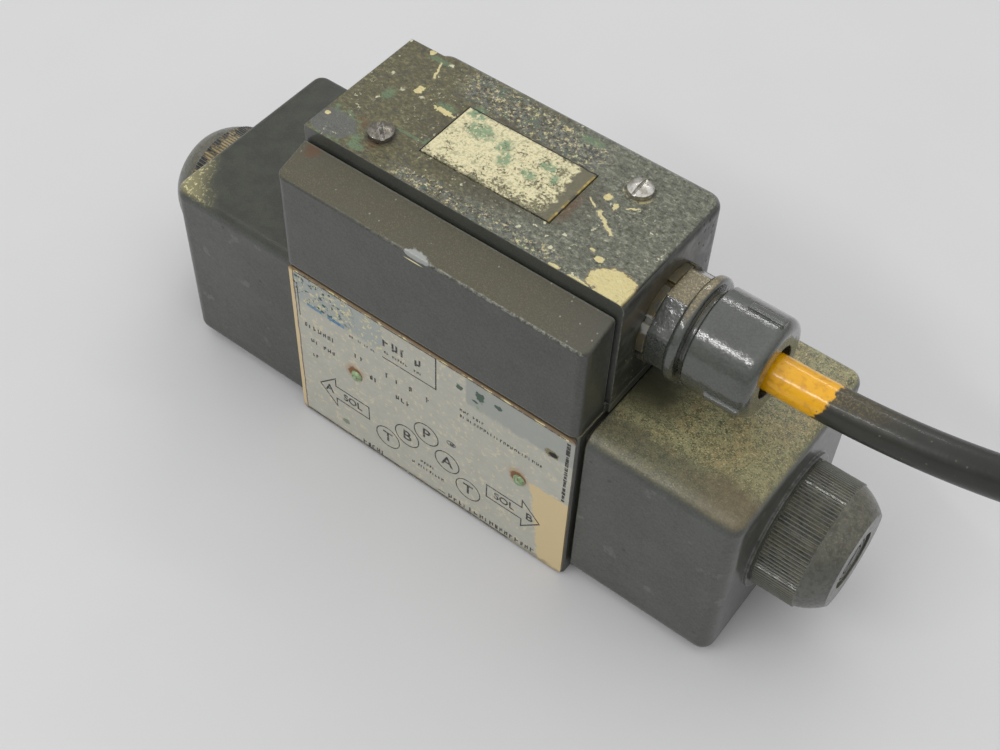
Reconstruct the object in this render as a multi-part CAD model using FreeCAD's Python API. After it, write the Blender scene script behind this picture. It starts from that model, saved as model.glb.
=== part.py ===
import FreeCAD, Part
import math
import os

from FreeCAD import Vector

# Solenoid-operated directional control valve with a five-port 54 x 46 mm base interface.
# Millimetres. X runs along the spool from solenoid A to solenoid B, Y from the nameplate face
# to the rear, Z up. The origin is the centre of the mounting face.

# Valve body
BODY_LENGTH = 98.0
BODY_DEPTH = 70.0
BODY_HEIGHT = 66.0
CLEARANCE = 0.05
STROKE = 3.2

# Nameplate on the front face, with its two drive pins
PLATE_THICKNESS = 0.8
PLATE_TOP = 65.6
PIN_XS = (-25.7, 32.5)
PIN_Z = 33.8
PIN_HEAD_RADIUS = 2.0
PIN_HEAD_DOME = 1.3
PIN_SHANK_RADIUS = 1.2
PIN_LENGTH = 7.0

# Spool, its bore and the ring chambers around it: (middle x, width)
SPOOL_Z = 33.0
SPOOL_BORE_RADIUS = 8.0
SPOOL_WAIST_RADIUS = 5.0
SPOOL_LANDS = ((-33.4, -29.5), (-16.0, -5.0), (5.0, 16.0), (29.5, 33.4))
SPOOL_HALF_LENGTH = 39.4
CHAMBER_RADIUS = 12.5
CHAMBERS = ((-23.8, 8.0), (-10.3, 7.0), (0.0, 7.0), (10.3, 7.0), (23.8, 8.0))

# Base interface; ports are (x, y, height at which the port meets its chamber)
BOLT_SPACING_X = 54.0
BOLT_SPACING_Y = 46.0
BOLT_HOLE_RADIUS = 3.35
BOLT_HEAD_RADIUS = 5.5
BOLT_SEAT_Z = 40.0
PORTS = ((-23.8, -9.5, 25.0), (-10.3, 1.6, 21.5), (0.0, 16.7, SPOOL_Z), (10.3, 1.6, 21.5), (23.8, -9.5, 25.0))
PORT_RADIUS = 5.3
PORT_SEAL_RADIUS = 7.9
PORT_SEAL_DEPTH = 1.4
PORT_SEAL_WIRE = 0.68

# Solenoids: x is measured outwards from the middle of the valve
SOCKET_START = 34.0
SOCKET_RADIUS = 14.5
SPRING_POCKET_RADIUS = 10.6
SPRING_POCKET_END = 49.0
POLE_NECK_END = 55.0
POLE_FACE = 62.0
TUBE_RADIUS = 12.0
TUBE_BORE_RADIUS = 10.0
CHAMBER_END = 92.0
TUBE_END = 97.0
ARMATURE_START = 66.0
ARMATURE_END = 88.0
PUSH_PIN_RADIUS = 2.45
PUSH_PIN_DEPTH = 6.0
WASHER_START = 37.6
WASHER_END = 39.1
WASHER_RADIUS = 10.3
SPRING_WIRE = 0.7
SPRING_RADIUS = 7.8
SPRING_TURNS = 4
SPRING_STEPS = 16
HOUSING_START = 50.3
HOUSING_END = 96.2
HOUSING_HALF_DEPTH = 32.5
HOUSING_BOTTOM = 1.5
HOUSING_TOP = 65.5
COIL_CAVITY_RADIUS = 26.0
COIL_CAVITY_END = 90.5
FLUX_WASHER_END = 52.3
BOBBIN_FLANGE = 2.0
BOBBIN_CORE_RADIUS = 13.8
WINDING_RADIUS = 24.5
LEAD_Z = 56.0
LEAD_SHAFT_X = 43.0
LEAD_HOLE_RADIUS = 3.0
LEAD_RADIUS = 0.9
LEAD_SPACING = 2.4
LEAD_ENTRY_Z = 72.5

# Knurled retaining caps
CAP_START = 97.2
CAP_KNURL_END = 110.3
CAP_THREAD_END = 112.0
CAP_END = 117.5
CAP_RADIUS = 19.2
CAP_SHOULDER_RADIUS = 18.8
CAP_SHOULDER_BULGE = 0.5
CAP_NOSE_RADIUS = 14.4
CAP_WINDOW_RADIUS = 8.8
CAP_SEAL_RADIUS = 16.0
CAP_SEAL_DEPTH = 2.0
KNURL_TEETH = 112
KNURL_DEPTH = 0.5
PLUG_THREAD_END = 111.5
PLUG_NOSE_RADIUS = 7.8
PLUG_NOSE_END = 117.0
OVERRIDE_RADIUS = 2.6
OVERRIDE_TRAVEL = 3.0
OVERRIDE_END = 117.2

# Wiring box on top of the body: a base casting with a front shoulder, and a tall cover
BOX_LEFT = -50.0
BOX_RIGHT = 50.3
BOX_FRONT = -22.5
BOX_REAR = 24.3
BOX_STEP_X = -41.0
BOX_STEP_REAR = 21.7
BOX_TOP = 107.5
BOX_WALL = 3.4
FLOOR_BOTTOM = 66.5
FLOOR_TOP = 69.6
COVER_BOTTOM = 70.4
SHOULDER_LEFT = -49.8
SHOULDER_RIGHT = 48.8
SHOULDER_FRONT_Z = 99.5
SHOULDER_BACK_Y = -23.2
SHOULDER_BACK_Z = 103.0
SHOULDER_CORNER = 2.6
COVER_SCREWS = ((-32.1, -12.9), (31.7, 12.0))
COVER_SCREW_TURNS = (-41.6, 90.0)
COVER_SCREW_RADIUS = 2.4
COVER_SCREW_HEAD = 3.5
BASE_SCREWS = ((-42.5, -13.5), (-42.5, 13.5), (42.5, -13.5), (42.5, 13.5))
BASE_SCREW_RADIUS = 2.0
BOSS_RADIUS = 5.4
BOSS_TOP = 78.0
LABEL = (-20.5, 20.0, -11.0, 9.7)
LABEL_THICKNESS = 0.7
LABEL_GAP = 0.45

# Terminal block inside the wiring box
BLOCK_HALF_LENGTH = 24.0
BLOCK_HALF_DEPTH = 8.0
BLOCK_TOP = 80.0
BARRIER_TOP = 84.0
POLE_PITCH = 8.0
POLE_XS = tuple(POLE_PITCH * i for i in range(-2, 3))
POLE_ROW_Y = 4.2
POLE_SCREW_RADIUS = 2.2
BLOCK_SCREW_X = 22.2

# Cable gland and cable
GLAND_Z = 86.0
GLAND_THREAD_RADIUS = 10.0
GLAND_BORE_RADIUS = 5.6
GLAND_FLANGE_RADIUS = 15.0
GLAND_SPIGOT_RADIUS = 11.5
SEAL_RADIUS = 9.0
SEAL_START = 68.0
SEAL_END = 76.5
NUT_START = 63.4
NUT_END = 82.3
NUT_RADIUS = 14.1
NUT_RIB_START = 70.8
NUT_RIB_END = 80.8
NUT_RIB_HALF_WIDTH = 1.3
NUT_RIB_HEIGHT = 0.9
NUT_RIBS = 3
NUT_RIB_TURN = -13.0
NUT_END_ROUNDING = 2.8
CABLE_RADIUS = 5.25
CABLE_INNER_END = 42.0
CABLE_STRAIGHT_END = 88.0
CABLE_BEND_RADIUS = 120.0
CABLE_BEND_DEGREES = 36.87
CABLE_BEND_LEAN = 17.5
CORE_RADIUS = 1.1
CORE_ENTRY_Z = 77.0


def block(x0, x1, y0, y1, z0, z1):
    return Part.makeBox(x1 - x0, y1 - y0, z1 - z0, Vector(x0, y0, z0))


def rod_x(radius, x0, x1, y=0.0, z=SPOOL_Z):
    return Part.makeCylinder(radius, abs(x1 - x0), Vector(min(x0, x1), y, z), Vector(1, 0, 0))


def rod_z(radius, z0, z1, x=0.0, y=0.0):
    return Part.makeCylinder(radius, z1 - z0, Vector(x, y, z0))


def ring_x(outer, inner, x0, x1, z=SPOOL_Z):
    return rod_x(outer, x0, x1, z=z).cut(rod_x(inner, x0 - 1, x1 + 1, z=z))


def seal_x(inner, outer, middle_x, z=SPOOL_Z):
    """An O-ring about the X line at height z, just clear of its inner and outer walls."""
    wire_radius = (outer - inner) / 2 - 0.02
    return Part.makeTorus((outer + inner) / 2, wire_radius, Vector(middle_x, 0, z), Vector(1, 0, 0))


def prism_x(corners, x0, x1, z):
    """Extrudes (y, z) corners, given from the X line at height z, from x0 to x1."""
    outline = [Vector(x0, y, z + up) for y, up in corners]
    return Part.Face(Part.makePolygon(outline + outline[:1])).extrude(Vector(x1 - x0, 0, 0))


def regular_corners(flat_radius, sides):
    """Corners of a regular polygon with a flat on top, from the radius to its flats."""
    corner_radius = flat_radius / math.cos(math.pi / sides)
    angles = [math.pi / 2 + math.pi * (2 * i + 1) / sides for i in range(sides)]
    return [(corner_radius * math.cos(angle), corner_radius * math.sin(angle)) for angle in angles]


def turned_x(profile, z=SPOOL_Z):
    """Turns a closed outline of (x, radius) points about the X line at height z."""
    outline = [Vector(x, 0, z + radius) for x, radius in profile]
    return Part.Face(Part.makePolygon(outline + outline[:1])).revolve(Vector(0, 0, z), Vector(1, 0, 0), 360)


def rounded(solid, radius, wanted):
    """Rounds each straight edge for which wanted(middle, direction) is true."""
    edges = []
    for edge in solid.Edges:
        direction = edge.Vertexes[-1].Point - edge.Vertexes[0].Point
        straight = abs(direction.Length - edge.Length) < 1e-6
        if straight and wanted(edge.CenterOfMass, direction.normalize()):
            edges.append(edge)
    return solid.makeFillet(radius, edges)


def wire_run(points, radius):
    """A round wire that follows straight runs with ball joints at its bends."""
    corners = [Vector(*point) for point in points]
    pieces = [Part.makeSphere(radius, corner) for corner in corners[1:-1]]
    for start, end in zip(corners, corners[1:]):
        pieces.append(Part.makeCylinder(radius, (end - start).Length, start, end - start))
    return pieces[0].fuse(pieces[1:]).removeSplitter()


def screw_z(x, y, shank_radius, tip_z, head_radius, seat_z, head_height):
    """A cylinder-head screw with a hexagon socket."""
    top = seat_z + head_height
    head = rod_z(head_radius, seat_z, top, x, y)
    head = head.makeChamfer(0.3, [edge for edge in head.Edges if edge.CenterOfMass.z > top - 0.01])
    outline = regular_corners(head_radius * 0.42, 6)
    corners = [Vector(x + across, y + along, top - head_height * 0.6) for across, along in outline]
    socket = Part.Face(Part.makePolygon(corners + corners[:1])).extrude(Vector(0, 0, head_height))
    return head.cut(socket).fuse(rod_z(shank_radius, tip_z, seat_z, x, y))


def slotted_head(x, y, radius, z, side_height, dome_height, slot_width, slot_depth, turn):
    """A domed screw head with a straight slot turned about Z."""
    ball_radius = (radius ** 2 + dome_height ** 2) / (2 * dome_height)
    top = z + side_height + dome_height
    ball = Part.makeSphere(ball_radius, Vector(x, y, top - ball_radius))
    head = rod_z(radius, z, top, x, y).common(ball)
    reach = 2 * radius
    slot = block(x - reach, x + reach, y - slot_width / 2, y + slot_width / 2, top - slot_depth, top + 1)
    slot.rotate(Vector(x, y, 0), Vector(0, 0, 1), turn)
    return head.cut(slot)


# ---- Body, spool and base -------------------------------------------------------------

def pin_shank(x, radius, length):
    front = -BODY_DEPTH / 2
    return Part.makeCylinder(radius, length, Vector(x, front, PIN_Z), Vector(0, 1, 0))


def valve_body():
    half = BODY_LENGTH / 2
    body = block(-half, half, -BODY_DEPTH / 2 + PLATE_THICKNESS, BODY_DEPTH / 2, 0, BODY_HEIGHT)
    body = rounded(body, 1.5, lambda middle, way: abs(way.z) > 0.9)
    cuts = [rod_x(SPOOL_BORE_RADIUS, -half, half)]
    for x, width in CHAMBERS:
        cuts.append(rod_x(CHAMBER_RADIUS, x - width / 2, x + width / 2))
    for x, y, end_z in PORTS:
        cuts.append(rod_z(PORT_RADIUS, -1, end_z, x, y))
        cuts.append(rod_z(PORT_SEAL_RADIUS, -1, PORT_SEAL_DEPTH, x, y))
    for side in (-1, 1):
        for y in (-BOLT_SPACING_Y / 2, BOLT_SPACING_Y / 2):
            x = side * BOLT_SPACING_X / 2
            cuts.append(rod_z(BOLT_HOLE_RADIUS, -1, BODY_HEIGHT, x, y))
            cuts.append(rod_z(BOLT_HEAD_RADIUS, BOLT_SEAT_Z, BODY_HEIGHT + 1, x, y))
        cuts.append(rod_x(SOCKET_RADIUS, side * SOCKET_START, side * (half + 1)))
        cuts.append(rod_x(LEAD_HOLE_RADIUS, side * LEAD_SHAFT_X, side * (half + 1), z=LEAD_Z))
        cuts.append(rod_z(LEAD_HOLE_RADIUS, LEAD_Z - LEAD_HOLE_RADIUS, BODY_HEIGHT + 1, side * LEAD_SHAFT_X))
    for x, y in BASE_SCREWS:
        cuts.append(rod_z(BASE_SCREW_RADIUS + CLEARANCE, BODY_HEIGHT - 13, BODY_HEIGHT + 1, x, y))
    for x in PIN_XS:
        cuts.append(pin_shank(x, PIN_SHANK_RADIUS, PIN_LENGTH + 1))
    return body.cut(cuts)


def nameplate():
    half = BODY_LENGTH / 2 - 0.2
    front = -BODY_DEPTH / 2
    plate = block(-half, half, front, front + PLATE_THICKNESS, 0.8, PLATE_TOP)
    plate = rounded(plate, 1.5, lambda middle, way: abs(way.y) > 0.9)
    holes = [pin_shank(x, PIN_SHANK_RADIUS, PIN_LENGTH) for x in PIN_XS]
    return plate.cut(holes)


def nameplate_pins():
    pins = []
    ball_radius = (PIN_HEAD_RADIUS ** 2 + PIN_HEAD_DOME ** 2) / (2 * PIN_HEAD_DOME)
    front = -BODY_DEPTH / 2
    for x in PIN_XS:
        top = Vector(x, front - PIN_HEAD_DOME, PIN_Z)
        ball = Part.makeSphere(ball_radius, top + Vector(0, ball_radius, 0))
        head = Part.makeCylinder(PIN_HEAD_RADIUS, PIN_HEAD_DOME, top, Vector(0, 1, 0))
        pins.append(head.common(ball).fuse(pin_shank(x, PIN_SHANK_RADIUS, PIN_LENGTH)))
    return pins


def spool():
    shaft = rod_x(SPOOL_WAIST_RADIUS, -SPOOL_HALF_LENGTH, SPOOL_HALF_LENGTH)
    lands = [rod_x(SPOOL_BORE_RADIUS - CLEARANCE, x0, x1) for x0, x1 in SPOOL_LANDS]
    return shaft.fuse(lands)


def port_seals():
    radius = PORT_SEAL_RADIUS - PORT_SEAL_WIRE - CLEARANCE
    return [Part.makeTorus(radius, PORT_SEAL_WIRE, Vector(x, y, PORT_SEAL_WIRE)) for x, y, end_z in PORTS]


# ---- One solenoid, built on the +X side -------------------------------------------------

def pole_piece():
    outline = (
        (SOCKET_START, SPRING_POCKET_RADIUS),
        (SOCKET_START, SOCKET_RADIUS),
        (BODY_LENGTH / 2, SOCKET_RADIUS),
        (BODY_LENGTH / 2, TUBE_RADIUS),
        (POLE_NECK_END, TUBE_RADIUS),
        (POLE_NECK_END, TUBE_BORE_RADIUS),
        (POLE_FACE, TUBE_BORE_RADIUS),
        (POLE_FACE, PUSH_PIN_RADIUS + CLEARANCE),
        (SPRING_POCKET_END, PUSH_PIN_RADIUS + CLEARANCE),
        (SPRING_POCKET_END, SPRING_POCKET_RADIUS),
    )
    groove = ring_x(SOCKET_RADIUS + 1, SOCKET_RADIUS - 1.9, 44.0, 46.4)
    return turned_x(outline).cut(groove)


def pole_seal():
    return seal_x(SOCKET_RADIUS - 1.9, SOCKET_RADIUS, 45.2)


def core_tube():
    return ring_x(TUBE_RADIUS, TUBE_BORE_RADIUS, POLE_NECK_END, TUBE_END)


def override_pocket():
    return rod_x(3.8, CHAMBER_END - 1, CHAMBER_END + 6.2)


def tube_plug():
    outline = (
        (CHAMBER_END, 0),
        (CHAMBER_END, TUBE_BORE_RADIUS),
        (TUBE_END, TUBE_BORE_RADIUS),
        (TUBE_END, TUBE_RADIUS),
        (PLUG_THREAD_END, TUBE_RADIUS),
        (PLUG_THREAD_END, PLUG_NOSE_RADIUS),
        (PLUG_NOSE_END - 0.6, PLUG_NOSE_RADIUS),
        (PLUG_NOSE_END, PLUG_NOSE_RADIUS - 0.6),
        (PLUG_NOSE_END, 0),
    )
    face_grooves = []
    for radius in (4.3, 6.2):
        face_grooves.append(ring_x(radius + 0.35, radius - 0.35, PLUG_NOSE_END - 0.5, PLUG_NOSE_END + 1))
    seal_groove = rod_x(4.4, 104.0, 106.2)
    pin_bore = rod_x(OVERRIDE_RADIUS + CLEARANCE, CHAMBER_END, PLUG_NOSE_END + 1)
    return turned_x(outline).cut([override_pocket(), pin_bore, seal_groove] + face_grooves)


def override_pin():
    stem = rod_x(OVERRIDE_RADIUS, CHAMBER_END + 2.4, OVERRIDE_END)
    stem = stem.makeChamfer(0.4, [edge for edge in stem.Edges if edge.CenterOfMass.x > OVERRIDE_END - 0.01])
    return stem.fuse(rod_x(3.6, CHAMBER_END + 3.8, CHAMBER_END + 6.0))


def override_seal():
    return seal_x(OVERRIDE_RADIUS, 4.4, 105.1)


def armature():
    core = rod_x(TUBE_BORE_RADIUS - CLEARANCE, ARMATURE_START, ARMATURE_END)
    rims = [edge for edge in core.Edges if edge.Length > 60 and len(edge.Vertexes) == 1]
    core = core.makeChamfer(0.6, rims)
    pin_hole = rod_x(PUSH_PIN_RADIUS, ARMATURE_START - 1, ARMATURE_START + PUSH_PIN_DEPTH)
    vents = [rod_x(1.2, ARMATURE_START - 1, ARMATURE_END + 1, y) for y in (-6.5, 6.5)]
    return core.cut([pin_hole] + vents)


def push_pin():
    return rod_x(PUSH_PIN_RADIUS, SPOOL_HALF_LENGTH + CLEARANCE, ARMATURE_START + PUSH_PIN_DEPTH)


def spring_washer():
    return ring_x(WASHER_RADIUS, SPOOL_WAIST_RADIUS, WASHER_START, WASHER_END)


def centring_spring():
    """A helix of short straight runs, mitred where they meet."""
    start = WASHER_END + SPRING_WIRE
    advance = (SPRING_POCKET_END - SPRING_WIRE - start) / (SPRING_TURNS * SPRING_STEPS)
    points = []
    for i in range(SPRING_TURNS * SPRING_STEPS + 1):
        angle = 2 * math.pi * i / SPRING_STEPS
        y = SPRING_RADIUS * math.cos(angle)
        z = SPOOL_Z + SPRING_RADIUS * math.sin(angle)
        points.append(Vector(start + advance * i, y, z))
    section = Part.Wire(Part.makeCircle(SPRING_WIRE, points[0], points[1] - points[0]))
    mitred = 1
    return Part.makePolygon(points).makePipeShell([section], True, False, mitred)


def solenoid_housing():
    depth = HOUSING_HALF_DEPTH
    shell = block(HOUSING_START, HOUSING_END, -depth, depth, HOUSING_BOTTOM, HOUSING_TOP)
    shell = rounded(shell, 4.5, lambda middle, way: abs(way.x) > 0.9)
    shell = shell.makeFillet(4.0, [edge for edge in shell.Edges if edge.CenterOfMass.x > HOUSING_END - 0.01])
    boss = rod_x(21.0, HOUSING_END, CAP_START)
    cavity = rod_x(COIL_CAVITY_RADIUS, HOUSING_START - 1, COIL_CAVITY_END)
    tube_hole = rod_x(TUBE_RADIUS + CLEARANCE, HOUSING_START, CAP_START + 1)
    return shell.fuse(boss).cut([cavity, tube_hole])


def housing_gasket():
    margin = 2.2
    frame = block(
        BODY_LENGTH / 2, HOUSING_START,
        -HOUSING_HALF_DEPTH + margin, HOUSING_HALF_DEPTH - margin,
        HOUSING_BOTTOM + margin, HOUSING_TOP - margin,
    )
    tube_hole = rod_x(TUBE_RADIUS + 0.2, BODY_LENGTH / 2 - 1, HOUSING_START + 1)
    lead_hole = rod_x(LEAD_HOLE_RADIUS, BODY_LENGTH / 2 - 1, HOUSING_START + 1, z=LEAD_Z)
    return frame.cut([tube_hole, lead_hole])


def flux_washer():
    plate = ring_x(COIL_CAVITY_RADIUS - CLEARANCE, TUBE_RADIUS + CLEARANCE, HOUSING_START, FLUX_WASHER_END)
    return plate.cut(rod_x(LEAD_HOLE_RADIUS - 0.2, HOUSING_START - 1, FLUX_WASHER_END + 1, z=LEAD_Z))


def coil_bobbin():
    start = FLUX_WASHER_END
    core = rod_x(BOBBIN_CORE_RADIUS, start, COIL_CAVITY_END)
    flanges = [
        rod_x(COIL_CAVITY_RADIUS - 0.4, start, start + BOBBIN_FLANGE),
        rod_x(COIL_CAVITY_RADIUS - 0.4, COIL_CAVITY_END - BOBBIN_FLANGE, COIL_CAVITY_END),
    ]
    tube_hole = rod_x(TUBE_RADIUS + 0.15, start - 1, COIL_CAVITY_END + 1)
    lead_hole = rod_x(LEAD_HOLE_RADIUS - 0.6, start - 1, start + BOBBIN_FLANGE, z=LEAD_Z)
    return core.fuse(flanges).cut([tube_hole, lead_hole])


def coil_winding():
    start = FLUX_WASHER_END + BOBBIN_FLANGE
    return ring_x(WINDING_RADIUS, BOBBIN_CORE_RADIUS, start, COIL_CAVITY_END - BOBBIN_FLANGE)


def coil_leads():
    leads = []
    for row in (-1, 1):
        y = row * LEAD_SPACING / 2
        points = (
            (FLUX_WASHER_END + BOBBIN_FLANGE - 0.1, y, LEAD_Z),
            (LEAD_SHAFT_X, y, LEAD_Z),
            (LEAD_SHAFT_X, y, LEAD_ENTRY_Z - 1),
            (LEAD_SHAFT_X - 8, y * 2, LEAD_ENTRY_Z),
            (BLOCK_HALF_LENGTH, y * 2, LEAD_ENTRY_Z),
        )
        leads.append(wire_run(points, LEAD_RADIUS))
    return leads


def knurled_outline(x0, x1):
    """A cylinder whose side is cut into fine axial V ridges."""
    points = []
    for i in range(2 * KNURL_TEETH):
        radius = CAP_RADIUS - KNURL_DEPTH * (i % 2)
        angle = math.pi * i / KNURL_TEETH
        points.append((radius * math.cos(angle), radius * math.sin(angle)))
    return prism_x(points, x0, x1, SPOOL_Z)


def retaining_cap():
    axis = Vector(0, 0, SPOOL_Z)
    knurl_edge = Vector(CAP_KNURL_END, 0, SPOOL_Z + CAP_SHOULDER_RADIUS)
    nose_edge = Vector(CAP_END, 0, SPOOL_Z + CAP_NOSE_RADIUS)
    slope = nose_edge - knurl_edge
    outwards = Vector(-slope.z, 0, slope.x).normalize()
    crown = (knurl_edge + nose_edge) * 0.5 + outwards * CAP_SHOULDER_BULGE
    shoulder = Part.Arc(knurl_edge, crown, nose_edge).toShape()
    corners = [
        nose_edge,
        Vector(CAP_END, 0, SPOOL_Z),
        Vector(CAP_START, 0, SPOOL_Z),
        Vector(CAP_START, 0, SPOOL_Z + CAP_SHOULDER_RADIUS),
        knurl_edge,
    ]
    sides = [Part.makeLine(start, end) for start, end in zip(corners, corners[1:])]
    outline = Part.Wire([shoulder] + sides)
    core = Part.Face(outline).revolve(axis, Vector(1, 0, 0), 360)
    lead_in = turned_x((
        (CAP_START, 0), (CAP_START, 18.6), (CAP_START + 0.8, CAP_RADIUS + 0.2),
        (CAP_KNURL_END - 0.4, CAP_RADIUS + 0.2), (CAP_KNURL_END, CAP_SHOULDER_RADIUS), (CAP_KNURL_END, 0),
    ))
    knurl = knurled_outline(CAP_START, CAP_KNURL_END).common(lead_in)
    holes = [
        rod_x(TUBE_RADIUS + CLEARANCE, CAP_START - 1, CAP_THREAD_END),
        rod_x(CAP_WINDOW_RADIUS, CAP_THREAD_END - 1, CAP_END + 1),
        rod_x(CAP_SEAL_RADIUS, CAP_START - 1, CAP_START + CAP_SEAL_DEPTH),
    ]
    return core.fuse(knurl).cut(holes)


def cap_seal():
    end = CAP_START + CAP_SEAL_DEPTH - CLEARANCE
    ring = ring_x(CAP_SEAL_RADIUS - CLEARANCE, TUBE_RADIUS + CLEARANCE, CAP_START, end)
    return ring.makeFillet(0.6, ring.Edges[:1])


# ---- Wiring box ---------------------------------------------------------------------------

def box_outline(inset, bottom, top, corner_radius):
    """The wiring box's plan outline, stepped back at its left rear corner."""
    left = BOX_LEFT + inset
    right = BOX_RIGHT - inset
    front = BOX_FRONT + inset
    main = block(left, right, front, BOX_STEP_REAR - inset, bottom, top)
    rear = block(BOX_STEP_X + inset, right, front, BOX_REAR - inset, bottom, top)

    def upright_at_rear(middle, way):
        return abs(way.z) > 0.9 and middle.y > 0

    rear = rounded(rear, corner_radius, upright_at_rear)
    main = rounded(main, corner_radius, lambda middle, way: upright_at_rear(middle, way) and middle.x > 0)
    return main.fuse(rear).removeSplitter()


def wiring_base():
    profile = (
        (-BODY_DEPTH / 2, FLOOR_BOTTOM),
        (SHOULDER_BACK_Y, FLOOR_BOTTOM),
        (SHOULDER_BACK_Y, SHOULDER_BACK_Z),
        (-BODY_DEPTH / 2, SHOULDER_FRONT_Z),
    )
    shoulder = prism_x(profile, SHOULDER_LEFT, SHOULDER_RIGHT, 0)
    shoulder = rounded(shoulder, SHOULDER_CORNER, lambda middle, way: abs(way.z) > 0.9 and middle.y < -30)
    rim = [
        edge for edge in shoulder.Edges
        if edge.CenterOfMass.z > SHOULDER_FRONT_Z - 0.1 and edge.CenterOfMass.y < SHOULDER_BACK_Y - 1
    ]
    shoulder = shoulder.makeFillet(1.1, rim)
    core = block(SHOULDER_LEFT + 3, SHOULDER_RIGHT - 3, -32, -26.2, FLOOR_BOTTOM - 1, SHOULDER_FRONT_Z - 3)
    floor = box_outline(0.0, FLOOR_BOTTOM, FLOOR_TOP, 5.0)
    apron = block(SHOULDER_LEFT, SHOULDER_RIGHT, SHOULDER_BACK_Y - 1, BOX_FRONT + 1, FLOOR_BOTTOM, FLOOR_TOP)
    bosses = [rod_z(BOSS_RADIUS, FLOOR_TOP - 1, BOSS_TOP, x, y) for x, y in COVER_SCREWS]
    thread = COVER_SCREW_RADIUS + CLEARANCE
    holes = [rod_z(thread, FLOOR_TOP + 0.6, BOSS_TOP + 1, x, y) for x, y in COVER_SCREWS]
    for x, y in BASE_SCREWS:
        holes.append(rod_z(BASE_SCREW_RADIUS + 0.2, FLOOR_BOTTOM - 1, FLOOR_TOP + 1, x, y))
    for side in (-1, 1):
        holes.append(rod_z(LEAD_HOLE_RADIUS, FLOOR_BOTTOM - 1, FLOOR_TOP + 1, side * LEAD_SHAFT_X))
        holes.append(rod_z(1.3, FLOOR_BOTTOM + 0.8, FLOOR_TOP + 1, side * BLOCK_SCREW_X))
    return shoulder.cut(core).fuse([floor, apron] + bosses).cut(holes)


def base_gasket():
    sheet = box_outline(1.2, BODY_HEIGHT, FLOOR_BOTTOM, 4.0)
    holes = [rod_z(BASE_SCREW_RADIUS + 0.4, BODY_HEIGHT - 1, FLOOR_BOTTOM + 1, x, y) for x, y in BASE_SCREWS]
    for side in (-1, 1):
        holes.append(rod_z(LEAD_HOLE_RADIUS + 0.3, BODY_HEIGHT - 1, FLOOR_BOTTOM + 1, side * LEAD_SHAFT_X))
    overhang = block(BODY_LENGTH / 2 - 0.5, BOX_RIGHT + 1, -40, 40, BODY_HEIGHT - 1, FLOOR_BOTTOM + 1)
    return sheet.cut(holes + [overhang])


def cover_gasket():
    sheet = box_outline(0.9, FLOOR_TOP, COVER_BOTTOM, 4.2)
    return sheet.cut(box_outline(BOX_WALL, FLOOR_TOP - 1, COVER_BOTTOM + 1, 2.0))


def wiring_cover():
    shell = box_outline(0.0, COVER_BOTTOM, BOX_TOP, 5.0)
    cavity = box_outline(BOX_WALL, COVER_BOTTOM - 1, BOX_TOP - BOX_WALL, 2.0)
    rear_edges = []
    for edge in shell.Edges:
        middle = edge.CenterOfMass
        if middle.z > BOX_TOP - 0.01 and (middle.y > BOX_STEP_REAR + 0.1 or middle.x > BOX_RIGHT - 1.3):
            rear_edges.append(edge)
    shell = shell.makeFillet(2.2, rear_edges)
    columns = [rod_z(BOSS_RADIUS, BOSS_TOP + 0.2, BOX_TOP - BOX_WALL + 1, x, y) for x, y in COVER_SCREWS]
    left, right, front, rear = LABEL
    pocket_floor = BOX_TOP - LABEL_THICKNESS
    gap = LABEL_GAP
    gland_hole = GLAND_THREAD_RADIUS + CLEARANCE
    holes = [rod_z(COVER_SCREW_RADIUS + 0.2, BOSS_TOP - 1, BOX_TOP + 1, x, y) for x, y in COVER_SCREWS]
    holes.append(block(left - gap, right + gap, front - gap, rear + gap, pocket_floor, BOX_TOP + 1))
    holes.append(rod_x(gland_hole, BOX_RIGHT - BOX_WALL - 1, BOX_RIGHT + 1, z=GLAND_Z))
    return shell.cut(cavity).fuse(columns).cut(holes)


def label_plate():
    left, right, front, rear = LABEL
    return block(left, right, front, rear, BOX_TOP - LABEL_THICKNESS, BOX_TOP + 0.1)


def cover_screws():
    screws = []
    for (x, y), turn in zip(COVER_SCREWS, COVER_SCREW_TURNS):
        head = slotted_head(x, y, COVER_SCREW_HEAD, BOX_TOP, 1.5, 0.9, 1.1, 1.2, turn)
        screws.append(head.fuse(rod_z(COVER_SCREW_RADIUS, FLOOR_TOP + 1.0, BOX_TOP, x, y)))
    return screws


def base_screws():
    return [screw_z(x, y, BASE_SCREW_RADIUS, BODY_HEIGHT - 11, 3.5, FLOOR_TOP, 3.6) for x, y in BASE_SCREWS]


def terminal_block():
    length = BLOCK_HALF_LENGTH
    depth = BLOCK_HALF_DEPTH
    body = block(-length, length, -depth, depth, FLOOR_TOP, BLOCK_TOP)
    barriers = []
    for i in range(len(POLE_XS) + 1):
        x = POLE_XS[0] + POLE_PITCH * (i - 0.5)
        barriers.append(block(x - 0.7, x + 0.7, -depth, depth, BLOCK_TOP, BARRIER_TOP))
    pockets = [rod_z(1.3, FLOOR_TOP - 1, BARRIER_TOP, side * BLOCK_SCREW_X) for side in (-1, 1)]
    for x in POLE_XS:
        for y in (-POLE_ROW_Y, POLE_ROW_Y):
            pockets.append(rod_z(1.05, BLOCK_TOP - 5, BLOCK_TOP + 1, x, y))
    return body.fuse(barriers).cut(pockets)


def terminal_screws():
    screws = []
    for x in POLE_XS:
        for y in (-POLE_ROW_Y, POLE_ROW_Y):
            head = slotted_head(x, y, POLE_SCREW_RADIUS, BLOCK_TOP, 0.9, 0.5, 0.6, 0.8, 20)
            screws.append(head.fuse(rod_z(1.0, BLOCK_TOP - 4.5, BLOCK_TOP, x, y)))
    return screws


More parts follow.
